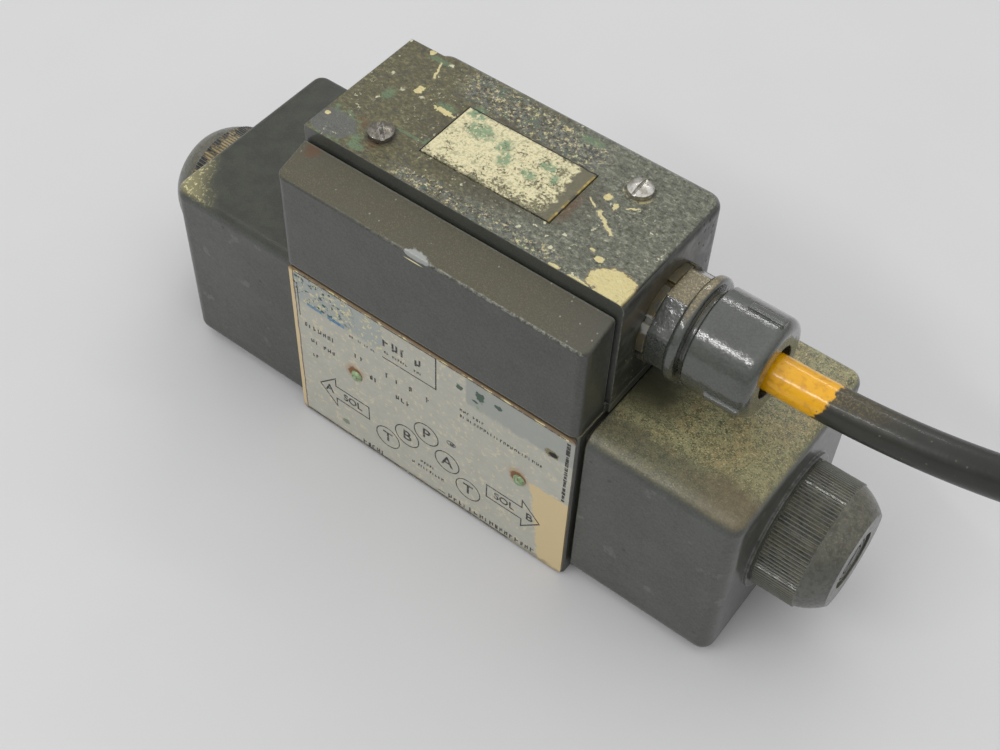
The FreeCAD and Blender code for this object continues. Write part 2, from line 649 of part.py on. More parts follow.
def block_screws():
    screws = []
    for side in (-1, 1):
        x = side * BLOCK_SCREW_X
        head = slotted_head(x, 0, 1.4, BLOCK_TOP, 0.7, 0.5, 0.5, 0.7, 35)
        screws.append(head.fuse(rod_z(1.25, FLOOR_BOTTOM + 1.2, BLOCK_TOP, x, 0)))
    return screws


# ---- Cable gland and cable ------------------------------------------------------------------

def gland_body():
    octagon = prism_x(regular_corners(13.0, 8), 52.4, 59.4, GLAND_Z)
    octagon = rounded(octagon, 1.2, lambda middle, way: abs(way.x) > 0.9)
    flange = rod_x(GLAND_FLANGE_RADIUS, 58.4, 61.6, z=GLAND_Z)
    flange = flange.makeFillet(1.2, [edge for edge in flange.Edges if edge.Closed])
    outline = (
        (43.0, GLAND_BORE_RADIUS),
        (43.0, GLAND_THREAD_RADIUS),
        (60.0, GLAND_THREAD_RADIUS),
        (60.0, GLAND_SPIGOT_RADIUS),
        (SEAL_END, GLAND_SPIGOT_RADIUS),
        (SEAL_END, SEAL_RADIUS),
        (SEAL_START, SEAL_RADIUS),
        (SEAL_START, GLAND_BORE_RADIUS),
    )
    bore = rod_x(GLAND_BORE_RADIUS, 40, 90, z=GLAND_Z)
    return turned_x(outline, GLAND_Z).fuse([octagon, flange]).cut(bore)


def gland_lockring():
    """The serrated ring between the gland and the box wall."""
    ring = ring_x(14.0, GLAND_THREAD_RADIUS, BOX_RIGHT, 52.4, GLAND_Z)
    notches = []
    for i in range(8):
        notch = block(BOX_RIGHT - 1, 53.4, 12.6, 15, GLAND_Z - 0.9, GLAND_Z + 0.9)
        notch.rotate(Vector(0, 0, GLAND_Z), Vector(1, 0, 0), 45 * i + 12)
        notches.append(notch)
    return ring.cut(notches)


def gland_locknut():
    inner_wall = BOX_RIGHT - BOX_WALL
    corners = [(up, across) for across, up in regular_corners(12.4, 6)]
    hexagon = prism_x(corners, inner_wall - 3.4, inner_wall, GLAND_Z)
    return hexagon.cut(rod_x(GLAND_THREAD_RADIUS, inner_wall - 5, inner_wall + 1, z=GLAND_Z))


def gland_seal():
    return ring_x(SEAL_RADIUS - CLEARANCE, CABLE_RADIUS, SEAL_START, SEAL_END - 0.3, GLAND_Z)


def gland_washer():
    return ring_x(10.8, CABLE_RADIUS + 0.4, SEAL_END, SEAL_END + 1.3, GLAND_Z)


def gland_nut():
    shell = rod_x(NUT_RADIUS, NUT_START, NUT_END, z=GLAND_Z)
    outer_edge = [edge for edge in shell.Edges if edge.CenterOfMass.x > NUT_END - 0.1]
    shell = shell.makeFillet(NUT_END_ROUNDING, outer_edge)
    inner_edge = [edge for edge in shell.Edges if edge.CenterOfMass.x < NUT_START + 0.1]
    shell = shell.makeChamfer(0.6, inner_edge)
    top = GLAND_Z + NUT_RADIUS + NUT_RIB_HEIGHT
    half = NUT_RIB_HALF_WIDTH
    ribs = []
    for i in range(NUT_RIBS):
        rib = block(NUT_RIB_START, NUT_RIB_END, -half, half, GLAND_Z + SEAL_RADIUS + 3, top)
        rib = rounded(rib, 0.6, lambda middle, way: middle.z > top - 0.1)
        rib.rotate(Vector(0, 0, GLAND_Z), Vector(1, 0, 0), NUT_RIB_TURN + 360 * i / NUT_RIBS)
        ribs.append(rib)
    thread = rod_x(GLAND_SPIGOT_RADIUS + CLEARANCE, NUT_START - 1, SEAL_END + 1.35, z=GLAND_Z)
    mouth = rod_x(7.6, SEAL_END, NUT_END + 1, z=GLAND_Z)
    return shell.fuse(ribs).cut([thread, mouth])


def cable_path():
    """Straight through the gland, then one arc that leans up and to the front."""
    start = Vector(CABLE_INNER_END, 0, GLAND_Z)
    bend = Vector(CABLE_STRAIGHT_END, 0, GLAND_Z)
    lean = math.radians(CABLE_BEND_LEAN)
    aside = Vector(0, -math.sin(lean), math.cos(lean))

    def on_arc(degrees):
        angle = math.radians(degrees)
        along = Vector(CABLE_BEND_RADIUS * math.sin(angle), 0, 0)
        return bend + along + aside * (CABLE_BEND_RADIUS * (1 - math.cos(angle)))

    arc = Part.Arc(bend, on_arc(CABLE_BEND_DEGREES / 2), on_arc(CABLE_BEND_DEGREES)).toShape()
    return Part.Wire([Part.makeLine(start, bend), arc])


def cable_jacket():
    start = Vector(CABLE_INNER_END, 0, GLAND_Z)
    section = Part.Wire(Part.makeCircle(CABLE_RADIUS, start, Vector(1, 0, 0)))
    return cable_path().makePipeShell([section], True, True)


def cable_cores():
    cores = []
    for y in (-4.0, 0.0, 4.0):
        points = (
            (CABLE_INNER_END, y * 0.6, GLAND_Z),
            (CABLE_INNER_END - 4, y * 0.6, GLAND_Z),
            (BLOCK_HALF_LENGTH + 4, y, CORE_ENTRY_Z),
            (BLOCK_HALF_LENGTH, y, CORE_ENTRY_Z),
        )
        cores.append(wire_run(points, CORE_RADIUS))
    return cores


SINGLE_NODES = {
    "valve_body": valve_body,
    "nameplate": nameplate,
    "nameplate_pins": nameplate_pins,
    "spool": spool,
    "port_seals": port_seals,
    "wiring_base": wiring_base,
    "wiring_base_gasket": base_gasket,
    "wiring_base_screws": base_screws,
    "wiring_cover": wiring_cover,
    "wiring_cover_gasket": cover_gasket,
    "wiring_cover_screws": cover_screws,
    "label_plate": label_plate,
    "terminal_block": terminal_block,
    "terminal_screws": terminal_screws,
    "terminal_block_screws": block_screws,
    "gland_body": gland_body,
    "gland_lockring": gland_lockring,
    "gland_locknut": gland_locknut,
    "gland_seal": gland_seal,
    "gland_washer": gland_washer,
    "gland_nut": gland_nut,
    "cable_jacket": cable_jacket,
    "cable_cores": cable_cores,
}

SOLENOID_NODES = {
    "pole_piece": pole_piece,
    "pole_seal": pole_seal,
    "core_tube": core_tube,
    "tube_plug": tube_plug,
    "override_pin": override_pin,
    "override_seal": override_seal,
    "armature": armature,
    "push_pin": push_pin,
    "spring_washer": spring_washer,
    "centring_spring": centring_spring,
    "solenoid_housing": solenoid_housing,
    "housing_gasket": housing_gasket,
    "flux_washer": flux_washer,
    "coil_bobbin": coil_bobbin,
    "coil_winding": coil_winding,
    "coil_leads": coil_leads,
    "retaining_cap": retaining_cap,
    "cap_seal": cap_seal,
}


def save(name, built):
    shape = Part.makeCompound(built) if isinstance(built, list) else built
    shape.exportStep("parts/" + name + ".step")


def mirrored(built):
    if isinstance(built, list):
        return [mirrored(solid) for solid in built]
    return built.mirror(Vector(0, 0, 0), Vector(1, 0, 0))


os.makedirs("parts", exist_ok=True)
for name, make in SINGLE_NODES.items():
    save(name, make())
for name, make in SOLENOID_NODES.items():
    side_b = make()
    save(name + "_b", side_b)
    save(name + "_a", mirrored(side_b))
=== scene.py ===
import math
import random

import bmesh
import bpy
from mathutils import Matrix, Vector


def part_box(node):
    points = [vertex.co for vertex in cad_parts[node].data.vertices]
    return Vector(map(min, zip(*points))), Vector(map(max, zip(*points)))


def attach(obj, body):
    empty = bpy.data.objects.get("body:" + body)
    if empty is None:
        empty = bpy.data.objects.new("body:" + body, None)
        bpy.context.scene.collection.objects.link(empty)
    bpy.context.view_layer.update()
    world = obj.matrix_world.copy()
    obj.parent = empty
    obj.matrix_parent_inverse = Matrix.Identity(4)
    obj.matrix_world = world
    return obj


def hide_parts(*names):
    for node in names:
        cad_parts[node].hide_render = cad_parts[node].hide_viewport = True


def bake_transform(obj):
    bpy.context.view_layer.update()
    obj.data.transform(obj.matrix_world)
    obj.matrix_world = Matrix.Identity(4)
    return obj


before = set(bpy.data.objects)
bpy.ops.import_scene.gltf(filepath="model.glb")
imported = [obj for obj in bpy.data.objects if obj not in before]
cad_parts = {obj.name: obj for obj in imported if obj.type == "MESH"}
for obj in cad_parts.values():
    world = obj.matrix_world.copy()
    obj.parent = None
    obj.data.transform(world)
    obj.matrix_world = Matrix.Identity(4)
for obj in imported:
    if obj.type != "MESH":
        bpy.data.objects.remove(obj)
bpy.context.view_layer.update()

# A weathered double-solenoid directional valve dressed around its fixed CAD frame, in metres.
# X runs along the spool towards solenoid B, Y away from the nameplate, Z up. Places and sizes
# in materials and printed marks are in millimetres.

MM = 0.001
SIDES = ("a", "b")

# Heights and faces the wear follows, in millimetres
COVER_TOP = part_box("wiring_cover")[1].z / MM
COVER_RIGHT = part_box("wiring_cover")[1].x / MM
HOUSING_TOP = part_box("solenoid_housing_b")[1].z / MM
PLATE_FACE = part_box("nameplate")[0].y / MM
SPOOL_AXIS_Z = 33.0
COVER_SCREWS = ((-32.1, -12.9), (31.7, 12.0))
KNURL_TIP = 19.2


def srgb(red, green, blue):
    """Screen colour (0 to 255) as a linear colour."""
    def linear(value):
        share = value / 255
        return share / 12.92 if share <= 0.04045 else ((share + 0.055) / 1.055) ** 2.4
    return (linear(red), linear(green), linear(blue), 1.0)


PAINT = srgb(57, 60, 54)
PAINT_DEEP = srgb(48, 51, 46)
# Pale paint for wear and scuffs, also laid along edges as a painted glint
PAINT_WORN_AND_GLINT = srgb(128, 128, 120)
UNDERCOAT_GREEN = srgb(108, 134, 98)
CREAM = srgb(224, 212, 158)
CREAM_PALE = srgb(222, 218, 184)
FLAKE_YELLOW = srgb(205, 182, 108)
DUST_OLIVE = srgb(99, 92, 66)
DUST_TAN = srgb(168, 148, 104)
GRIME = srgb(38, 34, 26)
VARNISH_ROUGHNESS = 0.12


# ---- Building a finish -------------------------------------------------------------------

class Coat:
    """One procedural finish, laid layer over layer. Places are in millimetres in the frame at rest."""

    def __init__(self, name):
        self.material = bpy.data.materials.new(name)
        self.material.use_nodes = True
        self.nodes = self.material.node_tree.nodes
        self.links = self.material.node_tree.links
        self.nodes.clear()
        self.output = self.nodes.new("ShaderNodeOutputMaterial")
        self.surface = self.nodes.new("ShaderNodeBsdfPrincipled")
        self.links.new(self.surface.outputs[0], self.output.inputs["Surface"])
        coordinates = self.nodes.new("ShaderNodeTexCoord")
        self.place = self.vector("MULTIPLY", coordinates.outputs["Object"], (1 / MM, 1 / MM, 1 / MM))
        self.x, self.y, self.z = self.split(self.place)
        self.facing = self.split(coordinates.outputs["Normal"])
        self.up = self.ramp(self.facing[2], 0.35, 0.85)

    def feed(self, socket, value):
        if isinstance(value, bpy.types.NodeSocket):
            self.links.new(value, socket)
        elif value is not None:
            socket.default_value = value

    def split(self, vector):
        node = self.nodes.new("ShaderNodeSeparateXYZ")
        self.feed(node.inputs[0], vector)
        return node.outputs

    def math(self, operation, first, second=None):
        node = self.nodes.new("ShaderNodeMath")
        node.operation = operation
        self.feed(node.inputs[0], first)
        self.feed(node.inputs[1], second)
        return node.outputs[0]

    def vector(self, operation, first, second):
        node = self.nodes.new("ShaderNodeVectorMath")
        node.operation = operation
        self.feed(node.inputs[0], first)
        self.feed(node.inputs[1], second)
        plain = operation in ("DISTANCE", "DOT_PRODUCT")
        return node.outputs["Value"] if plain else node.outputs[0]

    def add(self, *values):
        total = values[0]
        for value in values[1:]:
            total = self.math("ADD", total, value)
        return total

    def times(self, *values):
        total = values[0]
        for value in values[1:]:
            total = self.math("MULTIPLY", total, value)
        return total

    def either(self, *values):
        """The greatest of several shares."""
        most = values[0]
        for value in values[1:]:
            most = self.math("MAXIMUM", most, value)
        return most

    def inverse(self, share):
        return self.math("SUBTRACT", 1.0, share)

    def ramp(self, value, low, high):
        """0 at low, 1 at high, smooth between; low may be above high."""
        node = self.nodes.new("ShaderNodeMapRange")
        node.interpolation_type = "SMOOTHSTEP"
        self.feed(node.inputs["Value"], value)
        node.inputs["From Min"].default_value = low
        node.inputs["From Max"].default_value = high
        return node.outputs[0]

    def band(self, value, low, high, soft=0.4):
        """1 where value is between low and high."""
        return self.times(
            self.ramp(value, low - soft, low + soft), self.ramp(value, high + soft, high - soft))

    def noise(self, size, detail=4.0, roughness=0.55, stretch=(1, 1, 1), shift=0.0):
        """Cloudy noise, about 0.3 to 0.7, whose blobs are about size millimetres wide."""
        node = self.nodes.new("ShaderNodeTexNoise")
        moved = self.vector(
            "ADD", self.vector("DIVIDE", self.place, stretch), (shift, shift * 1.7, shift * 0.6))
        self.feed(node.inputs["Vector"], moved)
        node.inputs["Scale"].default_value = 1 / size
        node.inputs["Detail"].default_value = detail
        node.inputs["Roughness"].default_value = roughness
        return node.outputs[0]

    def cells(self, size, shift=0.0):
        """(distance to the nearest of scattered points as a share of size, a random share per point)."""
        node = self.nodes.new("ShaderNodeTexVoronoi")
        self.feed(node.inputs["Vector"], self.vector("ADD", self.place, (shift, shift, shift)))
        node.inputs["Scale"].default_value = 1 / size
        return node.outputs["Distance"], self.split(node.outputs["Color"])[0]

    def specks(self, spacing, radius, share, shift=0.0):
        """1 inside small round specks; share of the scattered points carry one."""
        distance, chance = self.cells(spacing, shift)
        return self.times(
            self.ramp(distance, radius * 1.25, radius * 0.75), self.ramp(chance, 1 - share, 1.01 - share))

    def flakes(self, spacing, share, shift=0.0):
        """1 inside ragged flakes; share of the scattered points carry one."""
        distance, chance = self.cells(spacing, shift)
        wobble = self.times(
            self.math("SUBTRACT", self.noise(spacing * 0.5, 4, 0.7, shift=shift), 0.5), 1.9)
        inside = self.ramp(self.add(distance, wobble), 0.46, 0.38)
        return self.times(inside, self.ramp(chance, 1 - share, 1.01 - share))

    def patchy(self, size, threshold, soft=0.02, detail=4.0, roughness=0.6, shift=0.0):
        """1 where noise passes the threshold, giving crisp ragged patches."""
        level = self.noise(size, detail, roughness, shift=shift)
        return self.ramp(level, threshold - soft, threshold + soft)

    def blot(self, x, y, z, radius, ragged=0.3, size=2.0, stretch=(1, 1, 1), shift=0.0, soft=0.05):
        """1 inside a ragged blot around a place; stretch widens it along the axes."""
        offset = self.vector("DIVIDE", self.vector("SUBTRACT", self.place, (x, y, z)), stretch)
        distance = self.vector("DISTANCE", offset, (0, 0, 0))
        wobble = self.times(
            self.math("SUBTRACT", self.noise(size, 3.0, shift=shift), 0.5), 4 * ragged * radius)
        return self.ramp(self.add(distance, wobble), radius * (1 + soft), radius * (1 - soft))

    def mix(self, share, first, second):
        """Mix of two colours."""
        node = self.nodes.new("ShaderNodeMix")
        node.data_type = "RGBA"
        self.feed(node.inputs[0], share)
        self.feed(node.inputs[6], first)
        self.feed(node.inputs[7], second)
        return node.outputs[2]

    def blend(self, share, first, second):
        """Mix of two plain values."""
        node = self.nodes.new("ShaderNodeMix")
        self.feed(node.inputs[0], share)
        self.feed(node.inputs[2], first)
        self.feed(node.inputs[3], second)
        return node.outputs[0]

    def start(self, colour, roughness, metallic=0.0):
        """The lowest layer, which the others are laid over."""
        self.colour = colour
        self.roughness = roughness
        self.metallic = metallic

    def lay(self, colour, share, roughness=0.6, metallic=0.0):
        """Lays another layer where share is 1."""
        self.start(
            self.mix(share, self.colour, colour),
            self.blend(share, self.roughness, roughness),
            self.blend(share, self.metallic, metallic),
        )

    def rounded(self, radius):
        """Normal rounded over the edges within radius millimetres."""
        node = self.nodes.new("ShaderNodeBevel")
        node.samples = 4
        node.inputs["Radius"].default_value = radius * MM
        return node.outputs[0]

    def edges(self, radius=0.7, low=0.02, high=0.2):
        """1 along edges, where the rounded normal turns away from the true one."""
        geometry = self.nodes.new("ShaderNodeNewGeometry")
        alike = self.vector("DOT_PRODUCT", self.rounded(radius), geometry.outputs["Normal"])
        return self.ramp(self.inverse(alike), low, high)

    def finish(self, height, depth=0.1, edge=0.4, varnish=0.0):
        """Connects the layers, and a bump that is depth millimetres at height 1; returns the material."""
        bump = self.nodes.new("ShaderNodeBump")
        bump.inputs["Distance"].default_value = depth * MM
        self.feed(bump.inputs["Height"], height)
        if edge:
            self.feed(bump.inputs["Normal"], self.rounded(edge))
        for socket, value in (
            ("Base Color", self.colour), ("Roughness", self.roughness), ("Metallic", self.metallic),
            ("Normal", bump.outputs[0]), ("Coat Normal", bump.outputs[0]),
            ("Coat Weight", varnish), ("Coat Roughness", VARNISH_ROUGHNESS),
        ):
            self.feed(self.surface.inputs[socket], value)
        return self.material


# ---- Painted castings --------------------------------------------------------------------

def paint(coat, deep=PAINT_DEEP, plain=PAINT):
    """Semi-gloss machine paint with faint clouding and fine specks."""
    clouds = coat.ramp(coat.noise(16, 4, 0.6, shift=3), 0.35, 0.65)
    fine = coat.ramp(coat.noise(0.6, 3, 0.6, shift=9), 0.3, 0.7)
    colour = coat.mix(coat.times(fine, 0.13), coat.mix(clouds, deep, plain), PAINT_WORN_AND_GLINT)
    roughness = coat.blend(coat.noise(3, 4), 0.3, 0.46)
    coat.start(colour, roughness)


def paint_skin(coat, grain=1.4, shift=0.0):
    """Height of brushed paint over a fine casting."""
    return coat.add(
        coat.times(coat.noise(grain, 3, 0.5, shift=shift), 0.7),
        coat.times(coat.noise(7, 2, shift=shift), 0.9))


def dust(coat, amount, light=DUST_TAN, dark=DUST_OLIVE, grain=0.5, shift=0.0):
    """Settled dust: a film whose grains thicken with amount."""
    grains = coat.noise(grain, 4, 0.7, shift=shift)
    clouds = coat.noise(8, 4, 0.6, shift=shift + 5)
    film = coat.times(amount, coat.ramp(coat.add(grains, coat.times(clouds, 0.8)), 0.55, 0.95))
    tint = coat.mix(coat.ramp(coat.noise(grain * 0.8, 3, 0.7, shift=shift + 2), 0.47, 0.66), dark, light)
    coat.lay(tint, film, 0.85)


def worn_and_glinting_edges(coat, radius=0.7, patch=3.0, threshold=0.5):
    """Paint rubbed thin and shiny along the edges, laid pale: real edge wear, and partly a painted glint
    along the edges.
    """
    rubbed_and_glinting = coat.times(coat.edges(radius), coat.patchy(patch, threshold, 0.08))
    coat.lay(PAINT_WORN_AND_GLINT, coat.times(rubbed_and_glinting, 0.8), 0.25, 0.25)


def grime_low(coat):
    """Oily dirt that gathers towards the mounting face."""
    height = coat.add(coat.z, coat.times(coat.noise(6, 4), -9.0))
    coat.lay(GRIME, coat.times(coat.ramp(height, 7.0, -6.0), 0.4))


def body_paint():
    coat = Coat("valve_body_paint")
    paint(coat)
    dust(coat, coat.times(coat.up, 0.9))
    grime_low(coat)
    worn_and_glinting_edges(coat)
    return coat.finish(paint_skin(coat), 0.07, varnish=0.45)


def shoulder_paint():
    """Wiring base: clean front face, olive dust on the sloping shoulder, a knock on its front edge."""
    coat = Coat("wiring_base_paint")
    paint(coat, srgb(40, 43, 38), srgb(49, 52, 47))
    slope = coat.times(coat.up, coat.ramp(coat.z, 80, 98))
    fade = coat.ramp(coat.x, 62, 22)
    coat.lay(srgb(76, 72, 54), coat.times(slope, coat.blend(fade, 0.4, 0.8)), 0.5)
    dust(
        coat, coat.times(slope, coat.blend(fade, 0.08, 0.55)), light=srgb(110, 103, 78),
        dark=srgb(76, 71, 50))
    rusty = coat.blot(-45.5, -24.5, 103, 2.2, 0.4, soft=0.5)
    coat.lay(srgb(98, 66, 40), coat.times(slope, rusty, 0.7), 0.8)
    coat.lay(srgb(128, 128, 118), coat.times(slope, coat.specks(1.7, 0.14, 0.22, 7)), 0.45)
    # Heavy edge rubbing, and a pale shiny line along the slope's front edge that brightens to the right:
    # worn paint, partly a painted highlight along that edge
    worn_and_glinting_edges(coat, 0.9, 5.0, 0.36)
    rim = coat.blot(10, -34.7, 99.3, 0.4, 0.35, 0.9, (400, 1, 1), soft=0.5)
    rubbed_and_glinting = coat.times(rim, coat.patchy(2.2, 0.5, 0.06, 5, 0.75, 14), coat.ramp(coat.x, -40, 20))
    coat.lay(srgb(150, 152, 140), coat.times(rubbed_and_glinting, 0.6), 0.25, 0.1)
    knock = coat.blot(-2.8, -35, 99.3, 1.0, 0.25, 1.5, (4.2, 2.5, 1.0), soft=0.15)
    coat.lay(srgb(150, 152, 148), knock, 0.35, 0.1)
    scratch = coat.blot(-3.6, -35, 97.3, 0.18, 0.1, 1.5, (15, 6, 1.3), soft=0.3)
    coat.lay(CREAM, scratch)
    grain = coat.times(slope, coat.noise(0.9, 4, 0.6), 0.9)
    height = coat.add(paint_skin(coat), grain, coat.times(knock, -1.5))
    return coat.finish(height, 0.1, varnish=0.4)


COVER_CHIPS = (
    # x, y, radius, ragged, stretch
    (43.9, -18.3, 4.9, 0.24, (1.2, 0.95, 1)),
    (49.0, -20.0, 2.4, 0.3, (0.6, 1.4, 1)),
    (36.8, -13.6, 1.25, 0.35, (1.0, 0.8, 1)),
    (33.7, -11.8, 0.6, 0.4, (1.2, 0.7, 1)),
    (-35.3, 6.5, 1.2, 0.5, (0.9, 1.3, 1)),
    (-41.9, 20.8, 0.9, 0.4, (1, 1, 1)),
    (-48.4, -15.1, 0.75, 0.3, (1, 1, 1)),
    (36.6, -22.4, 1.3, 0.4, (2.2, 0.5, 1)),
    (29.6, -22.0, 1.0, 0.4, (1.7, 0.7, 1)),
    (26.4, 5.2, 1.15, 0.5, (1.0, 1.1, 1)),
    (30.0, 3.6, 0.9, 0.5, (0.9, 1.3, 1)),
    (50.4, 2.6, 0.7, 0.4, (1, 1.7, 1)),
    (-24.9, 4.2, 1.5, 0.5, (2.0, 0.6, 1)),
)


def streak(coat, start, end, width, shift=0.0):
    """1 along a ragged scratch between two places on the cover's top."""
    middle = ((start[0] + end[0]) / 2, (start[1] + end[1]) / 2)
    run = Vector((end[0] - start[0], end[1] - start[1]))
    along = run.normalized()
    offset = coat.vector("SUBTRACT", coat.place, (middle[0], middle[1], COVER_TOP))
    lengthways = coat.vector("DOT_PRODUCT", offset, (along.x, along.y, 0))
    across = coat.vector("DOT_PRODUCT", offset, (-along.y, along.x, 0))
    wobble = coat.times(coat.math("SUBTRACT", coat.noise(1.2, 3, shift=shift), 0.5), 5.0 * width)
    near = coat.ramp(coat.math("ABSOLUTE", coat.add(across, wobble)), width * 1.15, width * 0.85)
    return coat.times(
        near, coat.ramp(coat.math("ABSOLUTE", lengthways), run.length / 2 + 0.4, run.length / 2 - 0.4))


def cover_paint():
    """Wiring cover: clean sides, and a rough top where coats of paint have flaked down to metal."""
    coat = Coat("wiring_cover_paint")
    paint(coat)
    top = coat.times(coat.up, coat.ramp(coat.z, COVER_TOP - 0.7, COVER_TOP - 0.15))
    pebbles = coat.noise(0.95, 5, 0.66, (1.25, 1, 1), shift=2)
    lumps = coat.noise(2.2, 4, 0.6, (1.3, 1, 1), shift=4)
    brown_side = coat.ramp(coat.add(coat.x, coat.times(coat.noise(14, 3), 30)), 34, 2)
    dirt = coat.mix(brown_side, srgb(104, 106, 90), srgb(92, 87, 54))
    pale = coat.mix(brown_side, srgb(150, 152, 132), srgb(132, 126, 84))
    ground = coat.mix(coat.ramp(pebbles, 0.5, 0.66), dirt, pale)
    ground = coat.mix(coat.ramp(pebbles, 0.47, 0.36), ground, srgb(70, 70, 54))
    gloss = coat.blend(coat.ramp(lumps, 0.42, 0.6), coat.blend(brown_side, 0.16, 0.3), 0.5)
    coat.lay(ground, coat.times(top, 0.95), gloss)

    def lay(colour, share, roughness=0.62, metallic=0.0):
        coat.lay(colour, coat.times(top, share), roughness, metallic)

    # Dark oily ring round the label, and rust by the cover screws
    oily = coat.blot(0, -0.6, COVER_TOP, 14.5, 0.12, 6, (1.75, 1, 1), soft=0.25)
    lay(srgb(66, 59, 38), coat.times(oily, 0.55), 0.4)
    lay(srgb(112, 76, 38), coat.times(coat.either(
        coat.blot(-39.2, -13.2, COVER_TOP, 2.4, 0.4, soft=0.6),
        coat.blot(-31.4, -17.0, COVER_TOP, 1.8, 0.4, soft=0.6),
        coat.blot(21, -4, COVER_TOP, 2.6, 0.4, stretch=(0.6, 2.2, 1), soft=0.6)), 0.5))

    # Grey clean patch at the front left corner, with green showing round it
    patch = coat.blot(-44.6, -17.4, COVER_TOP, 5.6, 0.2, 4, (1.15, 0.85, 1), soft=0.06)
    halo = coat.blot(-43.2, -16.8, COVER_TOP, 7.0, 0.28, 3, (1.2, 0.9, 1), soft=0.1)
    lay(UNDERCOAT_GREEN, coat.times(halo, coat.patchy(2.2, 0.5, 0.06, shift=11), 0.7))
    lay(coat.mix(coat.noise(0.7, 4, 0.7), srgb(78, 80, 74), srgb(112, 114, 106)), patch, 0.4)

    # Flaked bands before and behind the label: bare metal, dark pits, cream and green flakes
    front_band = coat.times(
        coat.band(coat.add(coat.y, coat.times(coat.noise(6, 3), 6)), -19.5, -14.6, 1.4),
        coat.band(coat.x, -22, 29, 4))
    rear_line = coat.add(coat.y, coat.times(coat.x, 0.06))
    rear_band = coat.times(
        coat.band(coat.add(rear_line, coat.times(coat.noise(6, 3), 5)), 13.2, 23.8, 1.6),
        coat.band(coat.x, -27, 19, 4))
    flaked = coat.either(front_band, rear_band)
    lay(srgb(128, 130, 122), coat.times(flaked, coat.patchy(1.3, 0.5, 0.04, 5, 0.7, 21), 0.85), 0.3, 0.55)
    lay(srgb(40, 38, 29), coat.times(flaked, coat.patchy(1.1, 0.545, 0.03, 5, 0.7, 25), 0.8), 0.5)
    lay(srgb(86, 104, 86), coat.times(flaked, coat.patchy(2.6, 0.57, 0.04, shift=27), 0.75), 0.5)
    crumbs = coat.either(
        coat.patchy(1.1, 0.585, 0.015, 5, 0.75, 33), coat.patchy(2.4, 0.6, 0.012, 6, 0.75, 57))
    lay(coat.mix(coat.noise(2.0, 3), CREAM_PALE, FLAKE_YELLOW), coat.times(flaked, crumbs))

    # Green undercoat smears, then cream chips, crumbs and scratches
    for x, y, radius, stretch in (
        (-25.0, 5.6, 2.1, (1.3, 0.8, 1)), (-37.7, 19.4, 1.8, (2.2, 0.5, 1)),
        (-34.5, -20.2, 1.6, (1.5, 0.8, 1)), (-40.8, 0.6, 1.7, (1, 1.3, 1)),
        (-25.6, -8.4, 3.6, (1.5, 0.12, 1)), (-20.0, -7.4, 2.2, (0.9, 0.5, 1)),
        (50.6, 3.4, 1.1, (1, 1.8, 1)), (-17.5, 10.6, 1.2, (1.6, 1, 1)), (12, 19.5, 2.0, (1.8, 0.7, 1)),
    ):
        smear = coat.blot(x, y, COVER_TOP, radius, 0.5, 1.0, stretch, 13, soft=0.3)
        lay(UNDERCOAT_GREEN, coat.times(smear, 0.7))
    lay(CREAM_PALE, coat.flakes(1.5, 0.02, 3))
    strewn = coat.ramp(coat.noise(12, 3), 0.4, 0.6)
    lay(CREAM_PALE, coat.times(coat.patchy(1.2, 0.625, 0.012, 5, 0.75, 8), strewn))
    for number, (x, y, radius, ragged, stretch) in enumerate(COVER_CHIPS):
        grain = 1.9 if radius > 2 else 1.0
        if radius > 2:
            rim = coat.blot(
                x + 0.1, y + 0.1, COVER_TOP, radius * 1.06, ragged, grain, stretch, number * 3.0)
            lay(srgb(158, 126, 72), coat.times(rim, 0.7), 0.7)
        chip = coat.blot(x, y, COVER_TOP, radius, ragged, grain, stretch, number * 3.0)
        lay(coat.mix(coat.noise(2.2, 4, 0.65), srgb(230, 220, 164), srgb(222, 203, 138)), chip, 0.55)
    for number, (start, end, width) in enumerate((
        ((23.0, 2.5), (26.0, 0.4), 0.28), ((27.3, 0.0), (34.8, -5.3), 0.5), ((32.4, 4.6), (35.2, 6.8), 0.3),
        ((-37.5, 19.0), (-35.2, 12.7), 0.32),
    )):
        lay(CREAM, streak(coat, start, end, width, number * 7.0))
    ring = coat.vector("DISTANCE", coat.place, (*COVER_SCREWS[1], COVER_TOP))
    crescent = coat.times(coat.band(ring, 3.5, 4.4, 0.2), coat.patchy(1.8, 0.47, 0.05, shift=51))
    lay(CREAM, coat.times(crescent, coat.ramp(coat.y, 12.5, 9.5)))
    for x, y in COVER_SCREWS:
        near_head = coat.ramp(coat.vector("DISTANCE", coat.place, (x, y, COVER_TOP)), 4.6, 3.4)
        lay(GRIME, coat.times(near_head, 0.7), 0.5)

    # Right face: painted shade from the gland mixed with dirt darkens it in cloudy patches, then dirt under
    # its top edge and pits near the gland
    side = coat.times(
        coat.ramp(coat.facing[0], 0.6, 0.9), coat.ramp(coat.x, COVER_RIGHT - 1.0, COVER_RIGHT - 0.3))
